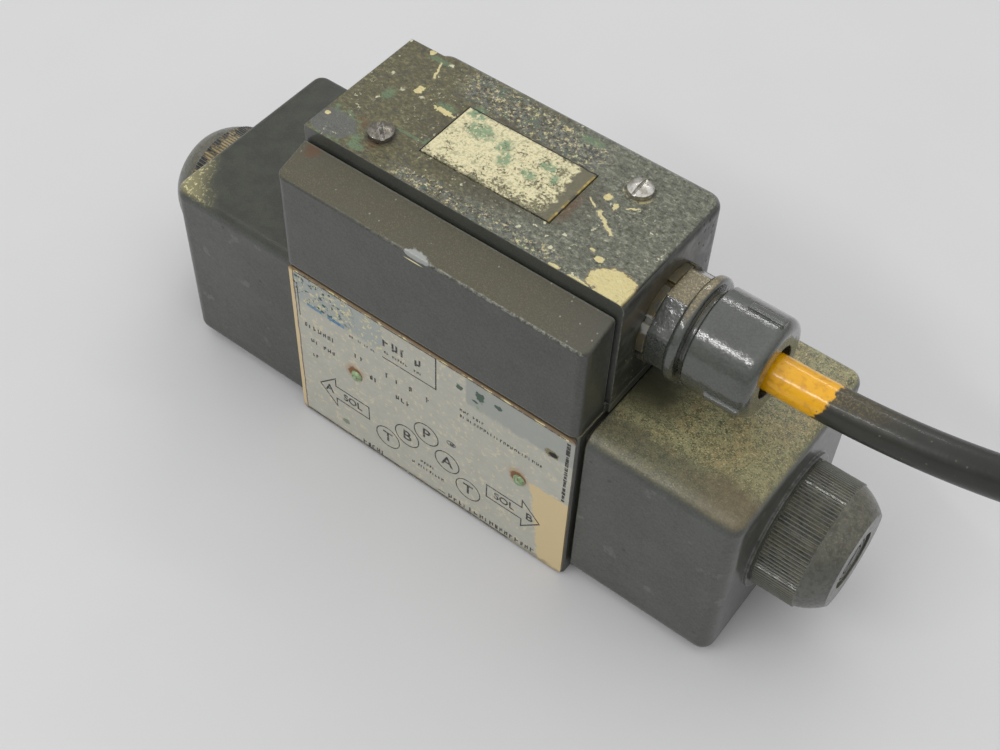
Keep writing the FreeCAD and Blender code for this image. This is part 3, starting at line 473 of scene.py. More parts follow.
    # Painted shade of the gland together with dirt
    coat.lay(srgb(18, 18, 12), coat.times(side, coat.ramp(coat.noise(5, 4), 0.3, 0.6), 0.85))
    soil = coat.band(coat.add(coat.z, coat.times(coat.noise(4, 3), 8)), 100, 107, 2.4)
    coat.lay(srgb(74, 64, 42), coat.times(side, soil, coat.ramp(coat.y, 16, 2), 0.6), 0.75)
    spatter = coat.times(side, coat.specks(1.6, 0.18, 0.4, 5), coat.ramp(coat.z, 98, 84))
    coat.lay(srgb(150, 136, 98), spatter, 0.8)
    pits = coat.times(side, coat.specks(2.8, 0.17, 0.35, 19), coat.band(coat.y, 4, 20, 2))
    coat.lay(GRIME, pits, 0.8)
    worn_and_glinting_edges(coat, 0.6, 3.0, 0.5)
    rough = coat.times(top, coat.add(pebbles, coat.times(lumps, 1.6)), 8.5)
    return coat.finish(
        coat.add(paint_skin(coat), rough, coat.times(pits, -2.0)), 0.1, edge=0.6, varnish=0.6)


def gritty_top(coat, top):
    """Solenoid B's top: tan, green and grey grit, darkened behind the gland by a painted shadow of the
    gland.
    """
    # Painted shadow of the gland, where less grit shows
    gland_shadow = coat.times(
        coat.ramp(coat.add(coat.x, coat.times(coat.noise(8, 3), 10)), 74, 62), coat.ramp(coat.y, -22, -8))
    across = coat.add(coat.x, coat.times(coat.y, -0.5), coat.times(coat.noise(16, 3), 20))
    heavy = coat.ramp(across, 118, 86)
    clear_rim = coat.ramp(coat.add(coat.y, coat.times(coat.noise(7, 4, shift=29), 8)), -19.5, -13.5)
    amount = coat.times(
        top, coat.blend(heavy, 0.5, 1.0), coat.inverse(coat.times(gland_shadow, 0.85)),
        coat.blend(clear_rim, 0.25, 1.0))
    fine = coat.noise(0.42, 3, 0.75, shift=19)
    coarse = coat.noise(2.2, 5, 0.72, shift=23)
    coat.lay(srgb(124, 121, 88), coat.times(top, coat.blend(clear_rim, 0.35, 0.95)), 0.5)
    coat.lay(srgb(104, 88, 60), coat.times(top, coat.inverse(clear_rim), coat.ramp(coat.x, 70, 92), 0.6))
    tan = coat.ramp(coat.add(fine, coarse), 0.94, 1.05)
    warm = coat.mix(
        coat.ramp(coat.noise(9, 3, shift=12), 0.4, 0.6), srgb(164, 161, 120), srgb(168, 152, 108))
    coat.lay(warm, coat.times(amount, tan, 0.9), 0.75)
    dark = coat.ramp(coat.add(fine, coat.times(coarse, 0.6)), 0.76, 0.68)
    coat.lay(srgb(48, 50, 38), coat.times(amount, dark, 0.75), 0.45)
    green = coat.patchy(1.6, 0.57, 0.04, 5, 0.7, 27)
    coat.lay(srgb(96, 108, 78), coat.times(amount, green, 0.6))
    crumbs = coat.patchy(0.6, 0.6, 0.03, 4, 0.7, 17)
    coat.lay(srgb(206, 192, 142), coat.times(amount, crumbs), 0.8)
    # Painted shadow of the gland: dark green-grey laid behind it
    coat.lay(srgb(44, 48, 38), coat.times(top, gland_shadow, 0.75), 0.4)


def filmed_top(coat, top):
    """Solenoid A's top: a thin dark olive film, paler in its front left corner."""
    corner = coat.add(coat.times(coat.x, -1), coat.times(coat.y, -0.8), coat.times(coat.noise(14, 3), 14))
    pale = coat.ramp(corner, 110, 124)
    film = coat.mix(
        coat.ramp(coat.noise(6, 4, 0.65, shift=2), 0.38, 0.62), srgb(22, 26, 17), srgb(41, 45, 31))
    film = coat.mix(pale, film, srgb(146, 141, 98))
    coat.lay(film, coat.times(top, 0.85), 0.5)
    dust(coat, coat.times(top, 0.16), light=srgb(104, 102, 78), dark=srgb(58, 60, 46), grain=0.5)
    crumbs = coat.times(pale, coat.patchy(1.1, 0.57, 0.02, 5, 0.75, 37))
    coat.lay(CREAM, coat.times(top, crumbs))
    brown = coat.times(coat.ramp(coat.x, -66, -54), coat.ramp(coat.y, 0, 24))
    coat.lay(srgb(110, 98, 62), coat.times(top, brown, 0.4), 0.7)


def housing_paint(side):
    """Solenoid housing: A is filmed with olive dust, B is peppered with tan grit."""
    coat = Coat(f"solenoid_{side}_paint")
    paint(coat)
    top = coat.times(coat.up, coat.ramp(coat.z, HOUSING_TOP - 5, HOUSING_TOP - 1))
    if side == "b":
        gritty_top(coat, top)
    else:
        filmed_top(coat, top)
    spots = coat.times(coat.inverse(top), coat.specks(6.5, 0.09, 0.25, 31), 0.7)
    coat.lay(GRIME, spots, 0.5)
    scuffs = coat.times(coat.patchy(9, 0.64, 0.02, 5, 0.6, 45), coat.inverse(top))
    coat.lay(PAINT_WORN_AND_GLINT, coat.times(scuffs, 0.2), 0.4)
    grime_low(coat)
    # Rubbed edges, whose pale shiny line along the top front edge is partly a painted glint
    worn_and_glinting_edges(coat, 1.1, 2.0, 0.48)
    grit = coat.times(top, coat.noise(0.7, 4, 0.7), 1.8 if side == "b" else 0.5)
    return coat.finish(
        coat.add(paint_skin(coat, 1.6), grit), 0.1, edge=0.5, varnish=0.45 if side == "b" else 0.25)


def gland_paint():
    """Gland: thick glossy paint, with grit only on top of the flange."""
    coat = Coat("gland_paint")
    paint(coat, srgb(46, 50, 45), srgb(60, 64, 58))
    inner = coat.band(coat.x, 50, 62, 0.8)
    dust(
        coat, coat.times(coat.ramp(coat.facing[2], 0.7, 0.97), inner, 0.9), light=srgb(170, 152, 104),
        dark=srgb(108, 98, 68), grain=0.7)
    worn_and_glinting_edges(coat, 0.5, 2.2, 0.5)
    rough = coat.blend(coat.noise(2.5, 3), 0.16, 0.34)
    coat.roughness = coat.blend(coat.times(inner, coat.up), rough, 0.55)
    return coat.finish(paint_skin(coat, 1.6), 0.14, edge=0.5, varnish=1.0)


def lockring_paint():
    """Serrated ring: paint scraped from its teeth down to yellowed primer."""
    coat = Coat("lockring_paint")
    paint(coat)
    coat.lay(srgb(84, 74, 46), coat.times(coat.patchy(3, 0.45, 0.1, shift=5), 0.75), 0.7)
    coat.lay(srgb(150, 150, 146), coat.blot(51, -10.5, 92, 3.0, 0.3, soft=0.15), 0.5)
    coat.lay(srgb(160, 142, 84), coat.times(coat.edges(0.5), coat.patchy(3, 0.5, 0.08, shift=9), 0.8))
    return coat.finish(paint_skin(coat, 1.2), 0.1)


def cap_paint(side):
    """Knurled cap: thin grey paint, with the knurl packed with dirt."""
    coat = Coat(f"cap_{side}_paint")
    paint(coat, srgb(66, 68, 62), srgb(86, 88, 80))
    height = coat.math("SUBTRACT", coat.z, SPOOL_AXIS_Z)
    radius = coat.math("SQRT", coat.add(coat.times(coat.y, coat.y), coat.times(height, height)))
    knurled = coat.band(coat.math("ABSOLUTE", coat.x), 97.6, 110.2, 0.2)
    knurl = coat.times(coat.ramp(radius, KNURL_TIP - 0.9, KNURL_TIP - 0.6), knurled)
    groove = coat.times(knurl, coat.ramp(radius, KNURL_TIP - 0.08, KNURL_TIP - 0.35))
    packed = coat.patchy(2.4, 0.52, 0.14, 5, 0.7, 4)
    filth = coat.mix(packed, srgb(30, 29, 20), srgb(88, 83, 56))
    if side == "a":
        filth = coat.mix(coat.patchy(5, 0.53, 0.06, shift=8), srgb(20, 19, 17), srgb(172, 152, 106))
        coat.lay(srgb(26, 26, 23), coat.times(knurl, 0.85), 0.5)
    coat.lay(filth, coat.times(groove, 0.95), 0.85)
    dusty = coat.times(coat.up, coat.inverse(knurl), 0.35)
    dust(coat, dusty, light=srgb(150, 140, 106), dark=srgb(96, 90, 70), grain=0.8)
    crest = coat.ramp(radius, KNURL_TIP - 0.08, KNURL_TIP - 0.01)
    ridge = coat.times(knurl, crest, coat.patchy(3, 0.45, 0.1, shift=6))
    coat.lay(srgb(150, 148, 134), coat.times(ridge, 0.7), 0.3, 0.3)
    streaks = coat.times(coat.inverse(knurl), coat.patchy(1.8, 0.54, 0.06, 5, 0.7, 61))
    coat.lay(srgb(52, 48, 36), coat.times(streaks, 0.5))
    worn_and_glinting_edges(coat, 0.4, 2.0, 0.45)
    return coat.finish(paint_skin(coat, 1.6), 0.08, edge=0.25, varnish=0.45)


def cable_sheath():
    """Cable: glossy yellow by the gland, then dark grey over-spray with tan dust where it starts."""
    coat = Coat("cable_sheath")
    yellow = coat.mix(coat.noise(2.4, 4, 0.6), srgb(222, 152, 0), srgb(240, 184, 8))
    coat.start(yellow, 0.2)
    coat.lay(srgb(160, 104, 14), coat.times(coat.patchy(1.6, 0.57, 0.05, 5, 0.65, 3), 0.35), 0.5)
    splashes = coat.times(coat.specks(1.9, 0.2, 0.5, 5), coat.ramp(coat.x, 92, 98))
    coat.lay(srgb(84, 84, 80), splashes, 0.5)
    edge = coat.add(coat.x, coat.times(coat.noise(3.5, 4, 0.65), 7), coat.times(coat.z, -0.35))
    sprayed = coat.ramp(edge, 69.8, 70.8)
    grey = coat.mix(coat.ramp(coat.x, 104, 140), srgb(28, 28, 19), srgb(12, 14, 9))
    grey = coat.mix(coat.times(coat.noise(5, 4), 0.3), grey, srgb(62, 63, 55))
    grey = coat.mix(coat.specks(1.4, 0.2, 0.08, 9), grey, srgb(80, 78, 62))
    coat.lay(grey, sprayed, 0.38)
    fresh = coat.times(sprayed, coat.ramp(coat.facing[2], 0.55, 0.98), coat.ramp(coat.x, 122, 98))
    dust(coat, coat.times(fresh, 0.55), light=srgb(152, 132, 84), dark=srgb(84, 76, 50), grain=0.8)
    return coat.finish(paint_skin(coat, 1.8), 0.1, edge=0, varnish=0.18)


# ---- Plates and small metal --------------------------------------------------------------

def plate_metal():
    """Nameplate: faded silver-beige, blue-grey panels, brown grime at its top, rust round its pins."""
    coat = Coat("nameplate_face")
    brushed = coat.noise(0.5, 3, 0.6, (7, 1, 1))
    mottled = coat.noise(5, 4, 0.6)
    colour = coat.mix(mottled, srgb(166, 165, 153), srgb(190, 188, 175))
    colour = coat.mix(coat.times(coat.ramp(brushed, 0.35, 0.7), 0.25), colour, srgb(150, 149, 140))
    coat.start(colour, 0.42)
    ragged = coat.times(coat.math("SUBTRACT", coat.noise(3, 4), 0.5), 4)

    coat.lay(srgb(216, 204, 168), coat.times(coat.patchy(1.6, 0.6, 0.04, 4, 0.6, 5), 0.5))
    left_panel = coat.times(
        coat.ramp(coat.x, -15.0, -15.6), coat.ramp(coat.add(coat.z, ragged), 51.5, 53.5))
    coat.lay(srgb(152, 159, 157), coat.times(left_panel, 0.75))
    right_panel = coat.times(
        coat.ramp(coat.x, 13.2, 14.0), coat.ramp(coat.add(coat.z, ragged), 52.6, 54.4))
    coat.lay(srgb(152, 155, 150), coat.times(right_panel, 0.85))
    coat.lay(srgb(214, 204, 152), coat.times(left_panel, coat.patchy(1.2, 0.58, 0.03, 4, 0.65, 9), 0.8))
    coat.lay(
        srgb(52, 82, 72),
        coat.times(left_panel, coat.patchy(1.5, 0.575, 0.025, 4, 0.6, 19), coat.ramp(coat.x, -22, -34)))
    for x, z, radius, stretch in (
        (18.4, 59.3, 1.5, (1, 1, 1.35)), (11.4, 58.4, 1.0, (1.1, 1, 1)), (24.6, 59.8, 0.9, (1.4, 1, 1)),
        (16.6, 56.4, 0.7, (1.6, 1, 0.7)),
    ):
        coat.lay(
            srgb(46, 78, 62),
            coat.times(coat.blot(x, PLATE_FACE, z, radius, 0.4, 1.1, stretch, 15, soft=0.15), 0.9))
    coat.lay(srgb(132, 158, 124), coat.blot(17.6, PLATE_FACE, 54.4, 0.6, 0.3))
    coat.lay(
        srgb(88, 112, 84),
        coat.times(coat.blot(-31.4, PLATE_FACE, 7.2, 1.3, 0.5, 1.0, (1.2, 1, 0.8), 7, soft=0.2), 0.7))

    # Tan paint that ran over the lower right corner, and the tan strip down the left edge
    corner = coat.add(coat.x, coat.times(coat.z, 0.14), ragged)
    coat.lay(
        srgb(206, 186, 142),
        coat.times(coat.ramp(corner, 40.6, 41.4), coat.ramp(coat.add(coat.z, ragged), 36.4, 35.4)), 0.5)
    strip = coat.add(coat.x, coat.times(ragged, 0.2))
    coat.lay(srgb(212, 190, 144), coat.times(coat.ramp(strip, -47.4, -47.8), 0.9))
    coat.lay(srgb(92, 44, 36), coat.times(coat.band(strip, -47.5, -47.1, 0.15), 0.8))
    for pin_x in (-25.7, 32.5):
        halo = coat.blot(pin_x - 0.7, PLATE_FACE, 34.9, 3.3, 0.24, 2.0, (1, 1, 1), 5, soft=0.3)
        coat.lay(srgb(172, 134, 84), coat.times(halo, 0.5))
        stain = coat.blot(pin_x - 0.4, PLATE_FACE, 34.5, 2.55, 0.16, 1.6, soft=0.15)
        coat.lay(srgb(112, 66, 28), coat.times(stain, 0.85), 0.8)
    coat.lay(
        srgb(126, 118, 92),
        coat.blot(42.0, PLATE_FACE, 54.7, 1.9, 0.3, 1.4, (1.25, 1, 0.8), 3, soft=0.15), 0.8)
    coat.lay(
        srgb(34, 31, 25),
        coat.blot(42.6, PLATE_FACE, 54.5, 1.2, 0.3, 1.2, (1.2, 1, 0.8), 3, soft=0.15), 0.8)

    # Grime under the shoulder with cream flakes in it, and dirt along the other edges
    top = coat.add(coat.z, coat.times(ragged, 0.35))
    coat.lay(srgb(120, 92, 52), coat.times(coat.ramp(top, 63.4, 65.0), 0.85), 0.8)
    coat.lay(CREAM, coat.times(coat.band(top, 63.9, 64.9, 0.2), coat.patchy(3.5, 0.54, 0.04, shift=29)))
    coat.lay(srgb(120, 112, 92), coat.times(coat.ramp(coat.add(coat.z, ragged), 3.2, 1.2), 0.6))
    coat.lay(GRIME, coat.times(coat.ramp(coat.facing[1], -0.9, -0.5), 0.5))
    height = coat.add(coat.times(brushed, 0.5), coat.times(coat.noise(2.6, 4), 0.8))
    return coat.finish(height, 0.05, edge=0.25)


def label_paint():
    """Label: cream paint crumbled off a dark ground, with green showing through."""
    coat = Coat("label_face")
    grain = coat.noise(0.8, 5, 0.7, shift=4)
    ground = coat.mix(grain, srgb(70, 66, 46), srgb(118, 114, 90))
    coat.start(ground, 0.55)
    wander = coat.times(coat.math("SUBTRACT", coat.noise(4, 5, 0.65, shift=2), 0.5), 10)
    painted = coat.ramp(coat.add(coat.x, coat.times(coat.y, 0.12), wander), 16.4, 15.4)
    thin_front = coat.ramp(
        coat.add(coat.y, coat.times(coat.x, -0.05), coat.times(wander, 0.7)), -9.8, -6.2)
    cover = coat.add(
        coat.times(coat.noise(0.8, 6, 0.78, shift=6), 0.68),
        coat.times(coat.noise(3.4, 4, 0.6, shift=61), 0.32),
        coat.times(thin_front, 0.06), coat.times(coat.ramp(coat.x, 14, -8), 0.035))
    flakes = coat.times(painted, coat.ramp(cover, 0.505, 0.53))
    coat.lay(coat.mix(coat.noise(2.2, 4, 0.6), srgb(214, 209, 172), srgb(226, 214, 170)), flakes)
    coat.lay(srgb(176, 166, 122), coat.times(painted, coat.patchy(0.7, 0.54, 0.05, 4, 0.7, 53), 0.6))
    for x, y, radius, stretch in (
        (-12.6, 4.3, 3.3, (1.2, 0.85, 1)), (-17.2, 8.4, 1.9, (1.4, 0.8, 1)), (-4.6, 3.4, 2.1, (1, 1.1, 1)),
        (-1.8, -0.4, 2.0, (1, 1.3, 1)), (8.6, 4.6, 1.7, (1.5, 0.8, 1)), (6.5, -1.0, 1.4, (1.6, 1, 1)),
        (12.4, 1.6, 1.2, (1, 1.5, 1)),
    ):
        patch = coat.blot(x, y, COVER_TOP, radius, 0.45, 1.5, stretch, 31, soft=0.4)
        coat.lay(srgb(108, 142, 108), coat.times(patch, coat.patchy(1.1, 0.42, 0.06, shift=35), 0.85))
    coat.lay(srgb(138, 144, 108), coat.times(painted, coat.patchy(1.4, 0.58, 0.04, 4, 0.65, 43), 0.55))
    rim = coat.either(
        coat.ramp(coat.x, 19.1, 19.6), coat.ramp(coat.y, -10.3, -10.8), coat.ramp(coat.y, 9.1, 9.5))
    coat.lay(
        srgb(182, 160, 78),
        coat.times(coat.ramp(coat.x, 19.2, 19.7), coat.patchy(3, 0.42, 0.06, shift=47), 0.9))
    coat.lay(GRIME, coat.times(rim, coat.patchy(2.0, 0.5, 0.05, shift=49), 0.5))
    return coat.finish(coat.add(grain, coat.times(flakes, 0.9)), 0.16, edge=0.2, varnish=0.15)


def screw_steel():
    """Screw heads: worn steel rubbed bright by a driver, rustier towards solenoid A."""
    coat = Coat("worn_screw")
    rusty = coat.ramp(coat.x, 10, -10)
    colour = coat.mix(
        coat.ramp(coat.noise(1.9, 3, 0.5), 0.35, 0.65), srgb(156, 151, 140), srgb(202, 200, 194))
    coat.start(coat.mix(coat.times(rusty, 0.6), colour, srgb(84, 76, 64)), 0.26, 0.9)
    soil = coat.ramp(coat.add(coat.noise(1.4, 4, 0.65, shift=5), coat.times(rusty, 0.1)), 0.61, 0.67)
    coat.lay(srgb(58, 46, 32), coat.times(soil, 0.6), 0.7)
    coat.lay(srgb(212, 210, 205), coat.times(coat.edges(0.35), 0.85), 0.2, 1.0)
    return coat.finish(coat.noise(0.7, 4, 0.6), 0.05, edge=0.2)


def pin_brass():
    """Drive pins: smooth brass gone pale green, with rust stains up and to the left."""
    coat = Coat("green_pins")
    colour = coat.mix(coat.patchy(0.9, 0.5, 0.15), srgb(116, 140, 104), srgb(150, 172, 132))
    stain = coat.patchy(0.9, 0.6, 0.04, shift=3)
    coat.start(colour, 0.4, 0.1)
    coat.lay(srgb(100, 62, 32), coat.times(stain, 0.7), 0.8)
    return coat.finish(coat.noise(0.8, 3, 0.5), 0.03, edge=0.2)


def turned_steel():
    """Inside parts: oiled steel with fine turning lines round the spool axis."""
    coat = Coat("turned_steel")
    lines = coat.noise(0.35, 2, 0.5, (1, 60, 60))
    colour = coat.mix(lines, srgb(140, 140, 142), srgb(182, 182, 184))
    roughness = coat.blend(coat.noise(6, 3), 0.2, 0.36)
    coat.start(colour, roughness, 1.0)
    return coat.finish(lines, 0.02, edge=0.2)


def painted_nose():
    """Tube plug and override pin: painted over with the cap, with dirt in the face grooves."""
    coat = Coat("plug_face")
    paint(coat, srgb(74, 75, 72), srgb(96, 97, 92))
    coat.lay(GRIME, coat.times(coat.patchy(2.4, 0.56, 0.06, shift=3), 0.6), 0.8)
    coat.lay(PAINT_WORN_AND_GLINT, coat.times(coat.edges(0.3), 0.6), 0.3, 0.3)
    return coat.finish(coat.noise(1.0, 4), 0.05, edge=0.2)


def spring_steel():
    coat = Coat("spring_wire")
    colour = coat.mix(coat.noise(0.9, 3), srgb(92, 92, 96), srgb(140, 140, 142))
    coat.start(colour, 0.3, 1.0)
    return coat.finish(coat.noise(0.4, 3), 0.01, edge=0)


def rubber():
    coat = Coat("seal_rubber")
    colour = coat.mix(coat.noise(0.8, 4, 0.7), srgb(26, 26, 27), srgb(44, 44, 45))
    bloom = coat.times(coat.patchy(4, 0.56, 0.1), 0.3)
    coat.start(colour, 0.55)
    coat.lay(srgb(88, 86, 82), bloom, 0.8)
    return coat.finish(coat.noise(0.5, 4), 0.02, edge=0)


def gasket_sheet():
    coat = Coat("gasket_sheet")
    fibres = coat.noise(0.6, 5, 0.75)
    colour = coat.mix(fibres, srgb(46, 42, 36), srgb(84, 76, 62))
    oil = coat.times(coat.patchy(6, 0.52, 0.12), 0.5)
    coat.start(colour, 0.8)
    coat.lay(GRIME, oil, 0.4)
    return coat.finish(fibres, 0.06, edge=0)


def copper_winding():
    """Enamelled wire laid in turns along X."""
    coat = Coat("copper_winding")
    turns = coat.math("PINGPONG", coat.x, 0.25)
    colour = coat.mix(coat.noise(3, 3), srgb(136, 66, 34), srgb(176, 92, 48))
    coat.start(colour, 0.28, 0.6)
    return coat.finish(coat.times(turns, 4), 0.2, edge=0, varnish=0.4)


def moulded_plastic(name, dark, light, grain=0.8):
    coat = Coat(name)
    colour = coat.mix(coat.noise(4, 3), dark, light)
    scuffs = coat.times(coat.patchy(2.2, 0.6, 0.05, 4, 0.65), 0.35)
    coat.start(colour, 0.45)
    coat.lay(srgb(150, 148, 140), scuffs)
    return coat.finish(coat.noise(grain, 3), 0.03, edge=0.2)


def conductor_insulation():
    """Conductor cores: brown, blue and green told apart by where they run."""
    coat = Coat("core_insulation")
    middle = coat.band(coat.y, -1.6, 1.6, 0.4)
    colour = coat.mix(middle, srgb(96, 58, 34), srgb(58, 112, 62))
    colour = coat.mix(coat.ramp(coat.y, 1.6, 2.2), colour, srgb(44, 74, 130))
    coat.start(colour, 0.4)
    coat.lay(srgb(180, 176, 160), coat.times(coat.patchy(1.2, 0.6, 0.05), 0.2), 0.7)
    return coat.finish(coat.noise(0.7, 3), 0.02, edge=0)


def ink(name, colour, bare, size, threshold, wear):
    """Nameplate print: ink worn through to the bare plate in patches of a size, by a share."""
    coat = Coat(name)
    worn = coat.patchy(size, threshold, 0.05, 4, 0.65, 3)
    coat.start(colour, 0.5)
    coat.lay(bare, coat.times(worn, wear), 0.5, 0.1)
    return coat.finish(coat.noise(0.4, 3), 0.01, edge=0)


def on_each_side(*names):
    return [f"{name}_{side}" for name in names for side in SIDES]


def dress_cad_nodes():
    """Gives every CAD node its finish."""
    looks = (
        (body_paint(), ["valve_body"]),
        (shoulder_paint(), ["wiring_base"]),
        (cover_paint(), ["wiring_cover"]),
        (housing_paint("a"), ["solenoid_housing_a"]),
        (housing_paint("b"), ["solenoid_housing_b"]),
        (cap_paint("a"), ["retaining_cap_a"]),
        (cap_paint("b"), ["retaining_cap_b"]),
        (gland_paint(), ["gland_body", "gland_nut"]),
        (lockring_paint(), ["gland_lockring"]),
        (cable_sheath(), ["cable_jacket"]),
        (plate_metal(), ["nameplate"]),
        (pin_brass(), ["nameplate_pins"]),
        (label_paint(), ["label_plate"]),
        (
            screw_steel(),
            ["wiring_cover_screws", "terminal_screws", "terminal_block_screws", "wiring_base_screws"]),
        (painted_nose(), on_each_side("tube_plug", "override_pin")),
        (turned_steel(), ["spool", "gland_locknut", "gland_washer"] + on_each_side(
            "pole_piece", "core_tube", "armature", "push_pin", "spring_washer", "flux_washer")),
        (rubber(), ["port_seals", "gland_seal"] + on_each_side("pole_seal", "override_seal", "cap_seal")),
        (gasket_sheet(), ["wiring_base_gasket", "wiring_cover_gasket"] + on_each_side("housing_gasket")),
        (copper_winding(), on_each_side("coil_winding")),
        (
            moulded_plastic("bobbin_plastic", srgb(196, 188, 168), srgb(214, 206, 186)),
            on_each_side("coil_bobbin")),
        (moulded_plastic("terminal_plastic", srgb(48, 34, 26), srgb(66, 48, 36)), ["terminal_block"]),
        (
            moulded_plastic("lead_insulation", srgb(150, 40, 34), srgb(172, 52, 42), 0.5),
            on_each_side("coil_leads")),
        (conductor_insulation(), ["cable_cores"]),
    )
    for material, names in looks:
        for name in names:
            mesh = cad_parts[name].data
            mesh.materials.clear()
            mesh.materials.append(material)


def working_springs():
    """Centring springs, which on the real valve shorten and stretch between each pole piece and the spool's
    washer: copies of their CAD nodes in spring steel.
    """
    material = spring_steel()
    for side in SIDES:
        node = f"centring_spring_{side}"
        coil = bpy.data.objects.new(f"working_spring_{side}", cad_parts[node].data.copy())
        coil.data.materials.clear()
        coil.data.materials.append(material)
        bpy.context.scene.collection.objects.link(coil)
        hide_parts(node)
        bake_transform(coil)


# ---- Nameplate print ---------------------------------------------------------------------

INK_FRONT = PLATE_FACE - 0.04
INK_BACK = PLATE_FACE + 0.03


def ink_prism(mesh, points):
    """One solid printed shape from (x, z) corners that run anticlockwise as the plate is read."""
    front = [mesh.verts.new((x * MM, INK_FRONT * MM, z * MM)) for x, z in points]
    back = [mesh.verts.new((x * MM, INK_BACK * MM, z * MM)) for x, z in points]
    mesh.faces.new(front)
    mesh.faces.new(back[::-1])
    for here in range(len(points)):
        there = (here + 1) % len(points)
        mesh.faces.new((front[there], front[here], back[here], back[there]))


def ink_bar(mesh, start, end, width):
    """Straight printed line between two (x, z) places."""
    run = Vector(end) - Vector(start)
    side = Vector((-run.y, run.x)).normalized() * width / 2
    corners = [Vector(start) - side, Vector(end) - side, Vector(end) + side, Vector(start) + side]
    ink_prism(mesh, [tuple(corner) for corner in corners])


def ink_outline(mesh, points, width):
    """Closed printed outline, mitred at its corners."""
    count = len(points)
    loops = [[], [], [], []]
    for here in range(count):
        before = (Vector(points[here]) - Vector(points[here - 1])).normalized()
        after = (Vector(points[(here + 1) % count]) - Vector(points[here])).normalized()
        normal = Vector((before.y + after.y, -before.x - after.x)).normalized()
        reach = width / 2 / max(0.4, normal.dot(Vector((before.y, -before.x))))
        for loop, (offset, depth) in zip(
            loops, ((1, INK_FRONT), (-1, INK_FRONT), (-1, INK_BACK), (1, INK_BACK)),
        ):
            x, z = Vector(points[here]) + normal * reach * offset
            loop.append(mesh.verts.new((x * MM, depth * MM, z * MM)))
    for first, second in zip(loops, loops[1:] + loops[:1]):
        for here in range(count):
            there = (here + 1) % count
            mesh.faces.new((first[here], first[there], second[there], second[here]))


def finish_piece(name, mesh, material):
    """Turns a bmesh into a visible piece fixed to the valve."""
    bmesh.ops.recalc_face_normals(mesh, faces=mesh.faces[:])
    data = bpy.data.meshes.new(name)
    mesh.to_mesh(data)
    mesh.free()
    data.materials.append(material)
    made = bpy.data.objects.new(name, data)
    bpy.context.scene.collection.objects.link(made)
    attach(made, "root")


def letters(mesh, text, x, z, height):
    """Adds solid letters centred on a place on the nameplate."""
    curve = bpy.data.curves.new("letters", "FONT")
    curve.body = text
    curve.align_x = "CENTER"
    curve.align_y = "CENTER"
    curve.size = height * MM * 1.4
    curve.extrude = 0.035 * MM
    curve.resolution_u = 3
    curve.offset = 0.08 * MM
    holder = bpy.data.objects.new("letters", curve)
    shape = holder.to_mesh()
    middle = Vector((x * MM, (INK_FRONT + INK_BACK) / 2 * MM, z * MM))
    shape.transform(Matrix.Translation(middle) @ Matrix.Rotation(math.radians(90), 4, "X"))
    mesh.from_mesh(shape)
    holder.to_mesh_clear()
    bpy.data.objects.remove(holder)
    bpy.data.curves.remove(curve)


def ring_points(x, z, radius, count=40):
    turns = [2 * math.pi * step / count for step in range(count)]
    return [(x + radius * math.cos(turn), z + radius * math.sin(turn)) for turn in turns]


def solenoid_arrow(mesh, tail, tip, z, letter):
    """Hollow arrow from tail to tip with its generic solenoid letter in the head."""
    way = 1 if tip > tail else -1
    neck = tip - way * 6.2
    points = [
        (tail, z - 2.9), (neck, z - 2.9), (neck, z - 6.4), (tip, z), (neck, z + 6.4), (neck, z + 2.9),
        (tail, z + 2.9)]
    ink_outline(mesh, points if way > 0 else points[::-1], 0.42)
    letters(mesh, letter, tip - way * 3.6, z, 3.3)
    letters(mesh, "SOL", (tail + neck) / 2, z, 2.9)


def worn_rows(mesh, chance):
    """Rows of rubbed-out marks, too worn to read, where the plate's fine print was."""
    rows = (
        # first x, last x, z, height, share still there
        (-44.6, -33.8, 43.4, 1.9, 0.85), (-44.4, -33.4, 37.4, 1.8, 0.75), (-44.0, -39.4, 30.9, 1.5, 0.6),
        (-26.0, -22.4, 43.3, 2.2, 0.6), (-20.6, -16.2, 37.6, 2.2, 0.7), (-14.6, -7.2, 43.2, 2.2, 0.45),
        (-13.0, -6.6, 36.0, 2.2, 0.7), (-6.2, 0.4, 43.6, 2.2, 0.6), (11.7, 19.2, 48.9, 1.2, 0.9),
        (11.8, 39.2, 46.3, 1.3, 0.95),
        (-2.4, 2.4, 12.2, 1.3, 0.9), (-5.6, 6.2, 9.4, 1.3, 0.9), (-24.8, -16.0, 3.0, 2.0, 0.9),
        (8.0, 38.4, 3.4, 2.1, 0.85),
        (-15.2, -1.2, 57.4, 3.4, 0.85), (-14.8, -1.4, 53.3, 1.1, 0.85), (-27.5, -17.0, 50.6, 0.9, 0.8),
    )
    for first, last, z, height, share in rows:
        x = first
        while x < last:
            width = height * chance.uniform(0.28, 0.62)
            if chance.random() < share:
                stem = height * 0.2
                lean = chance.choice((0, 1, 2, 3))
                ink_bar(
                    mesh, (x + stem / 2, z - height / 2),
                    (x + stem / 2, z + height * chance.uniform(0.2, 0.5)), stem)
                if lean > 0:
                    level = z + height * chance.uniform(-0.42, 0.42)
                    ink_bar(mesh, (x + stem * 1.1, level), (x + width, level), stem)
                if lean > 1:
                    ink_bar(
                        mesh, (x + width, z - height * chance.uniform(0.1, 0.5)),
                        (x + width, z + height * 0.45), stem * 0.9)
            x += width + height * 0.42


